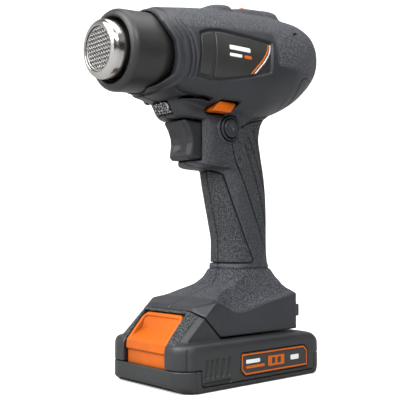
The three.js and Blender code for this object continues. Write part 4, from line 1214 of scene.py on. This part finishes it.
def paint_inside():
    """Materials for the pieces kept from the CAD, which sit inside the housing and the pack."""
    looks = {
        MICA: ["heater_tube", "heater_cross"],
        COIL: ["heating_coil"],
        BRASS: ["thermal_cutout", "terminal_blade_left", "terminal_blade_right"],
        BLACK: ["fan_duct", "fan_impeller", "motor_bracket", "trigger_switch", "mode_switch",
                "terminal_block", "cell_holder"],
        BARE_METAL: ["motor_can", "motor_shaft", "trigger_plunger"],
        WINDING: ["motor_armature"],
        SPRING_STEEL: ["trigger_spring", "latch_spring"],
        BOARD: ["control_board", "pack_board"],
        LENS_CLEAR: ["work_light_led"],
        RED_WIRE: ["wire_positive"],
        BLACK_WIRE: ["wire_negative"],
        CELL: ["cell_%d" % k for k in range(1, 6)],
    }
    for material, names in looks.items():
        for name in names:
            node = frame["nodes"][name]
            node.data.materials.clear()
            node.data.materials.append(material)


# ------------------------------------------------------------------ studio, in metres

CAMERA_AZIMUTH = math.radians(48.69)
CAMERA_ELEVATION = math.radians(-2.85)
CAMERA_PLACE = (0.36395, -0.3365, 0.0918)
CAMERA_LENS = 66.46
LIGHT_TARGET = Vector((0, 0, 0.13))
BACKDROP_RADIUS = 1.1
BACKDROP_BEND = 0.7
BACKDROP_HEIGHT = 2.4
CARD_RADIUS = 0.75
CARD_HEIGHTS = (0.03, 0.50)


def link(name, data):
    obj = bpy.data.objects.new(name, data)
    bpy.context.scene.collection.objects.link(obj)
    return obj


def stage_mesh(name, vertices, faces, material):
    """A mesh object that isn't part of the gun."""
    mesh = bpy.data.meshes.new(name)
    mesh.from_pydata(vertices, [], faces)
    mesh.materials.append(material)
    obj = link(name, mesh)
    return obj


def camera():
    flat = math.cos(CAMERA_ELEVATION)
    height = math.sin(CAMERA_ELEVATION)
    back = Vector((math.sin(CAMERA_AZIMUTH) * flat, -math.cos(CAMERA_AZIMUTH) * flat, height))
    obj = link("camera", bpy.data.cameras.new("camera"))
    obj.data.lens = CAMERA_LENS
    obj.data.sensor_width = 36
    obj.location = CAMERA_PLACE
    obj.rotation_euler = back.to_track_quat("Z", "Y").to_euler()
    bpy.context.scene.camera = obj


def backdrop():
    """A pale round floor that curves up into a wall."""
    flat, bend = BACKDROP_RADIUS - BACKDROP_BEND, BACKDROP_BEND
    profile = [(flat, 0)]
    profile += [
        (flat + bend * math.sin(a), bend - bend * math.cos(a)) for a in np.linspace(0.1, math.pi / 2, 12)
    ]
    profile += [(BACKDROP_RADIUS, BACKDROP_HEIGHT)]
    segments = 96
    angles = [2 * math.pi * k / segments for k in range(segments)]
    vertices = [(r * math.cos(angle), r * math.sin(angle), z) for r, z in profile for angle in angles]
    faces = []
    for row in range(len(profile) - 1):
        for k in range(segments):
            a, b = row * segments + k, row * segments + (k + 1) % segments
            faces.append((a, a + segments, b + segments, b))
    faces.append(tuple(range(segments)))
    stage_mesh("backdrop", vertices, faces, backdrop_paper()).data.shade_smooth()


def backdrop_paper():
    """Pale paper to the camera. It throws less light back on the gun, so that dark plastic stays dark."""
    n = Nodes("backdrop_paper")
    pale = n.mix(n.noise(6, 2), (0.86, 0.86, 0.86), (0.90, 0.90, 0.90))
    seen = n.add("ShaderNodeLightPath").outputs["Is Camera Ray"]
    n.set(
        Base_Color=n.mix(seen, (0.40, 0.40, 0.40), pale), Roughness=0.9, Specular_IOR_Level=0.0,
        Emission_Color=(1, 1, 1), Emission_Strength=n.math("MULTIPLY", seen, 0.35),
    )
    return n.material


def dark_card():
    """A bent dark card round the front, for the dark band in the polished outlet. The camera can't see it."""
    columns = 13
    corners = [
        (CARD_RADIUS * math.cos(angle), CARD_RADIUS * math.sin(angle), height)
        for angle in np.radians(np.linspace(-72, 62, columns)) for height in CARD_HEIGHTS
    ]
    faces = [(2 * k, 2 * k + 1, 2 * k + 3, 2 * k + 2) for k in range(columns - 1)]
    cloth = Nodes("dark_card_cloth")
    weave = cloth.mix(cloth.noise(40, 2), (0.008, 0.008, 0.008), (0.012, 0.012, 0.012))
    cloth.set(Base_Color=weave, Roughness=1.0)
    card = stage_mesh("dark_card", corners, faces, cloth.material)
    card.visible_camera = False
    card.visible_shadow = False


def world():
    bpy.context.scene.world = bpy.data.worlds.new("studio")
    bpy.context.scene.world.use_nodes = True
    background = bpy.context.scene.world.node_tree.nodes["Background"]
    background.inputs["Color"].default_value = (1, 1, 1, 1)
    background.inputs["Strength"].default_value = 0.54


def light(name, place, size, power):
    """A soft square light that faces the gun."""
    obj = link(name, bpy.data.lights.new(name, "AREA"))
    obj.data.size = size
    obj.data.energy = power
    obj.location = place
    obj.rotation_euler = (Vector(place) - LIGHT_TARGET).to_track_quat("Z", "Y").to_euler()


# ------------------------------------------------------------------ build

for build in (
    housing, grips, badges, outlet, grille, trigger, lock_off_bar, mode_slider, lens, boss_caps, screws,
    lower_case, upper_case, labels, latch, paint_inside, camera, backdrop, dark_card, world,
):
    build()
light("key", (-0.10, -0.85, 0.70), 0.9, 19)
light("side", (0.80, -0.45, 0.60), 0.7, 12)
light("top", (0.10, 0.10, 1.1), 1.1, 8)
bpy.context.scene.view_settings.view_transform = "Standard"
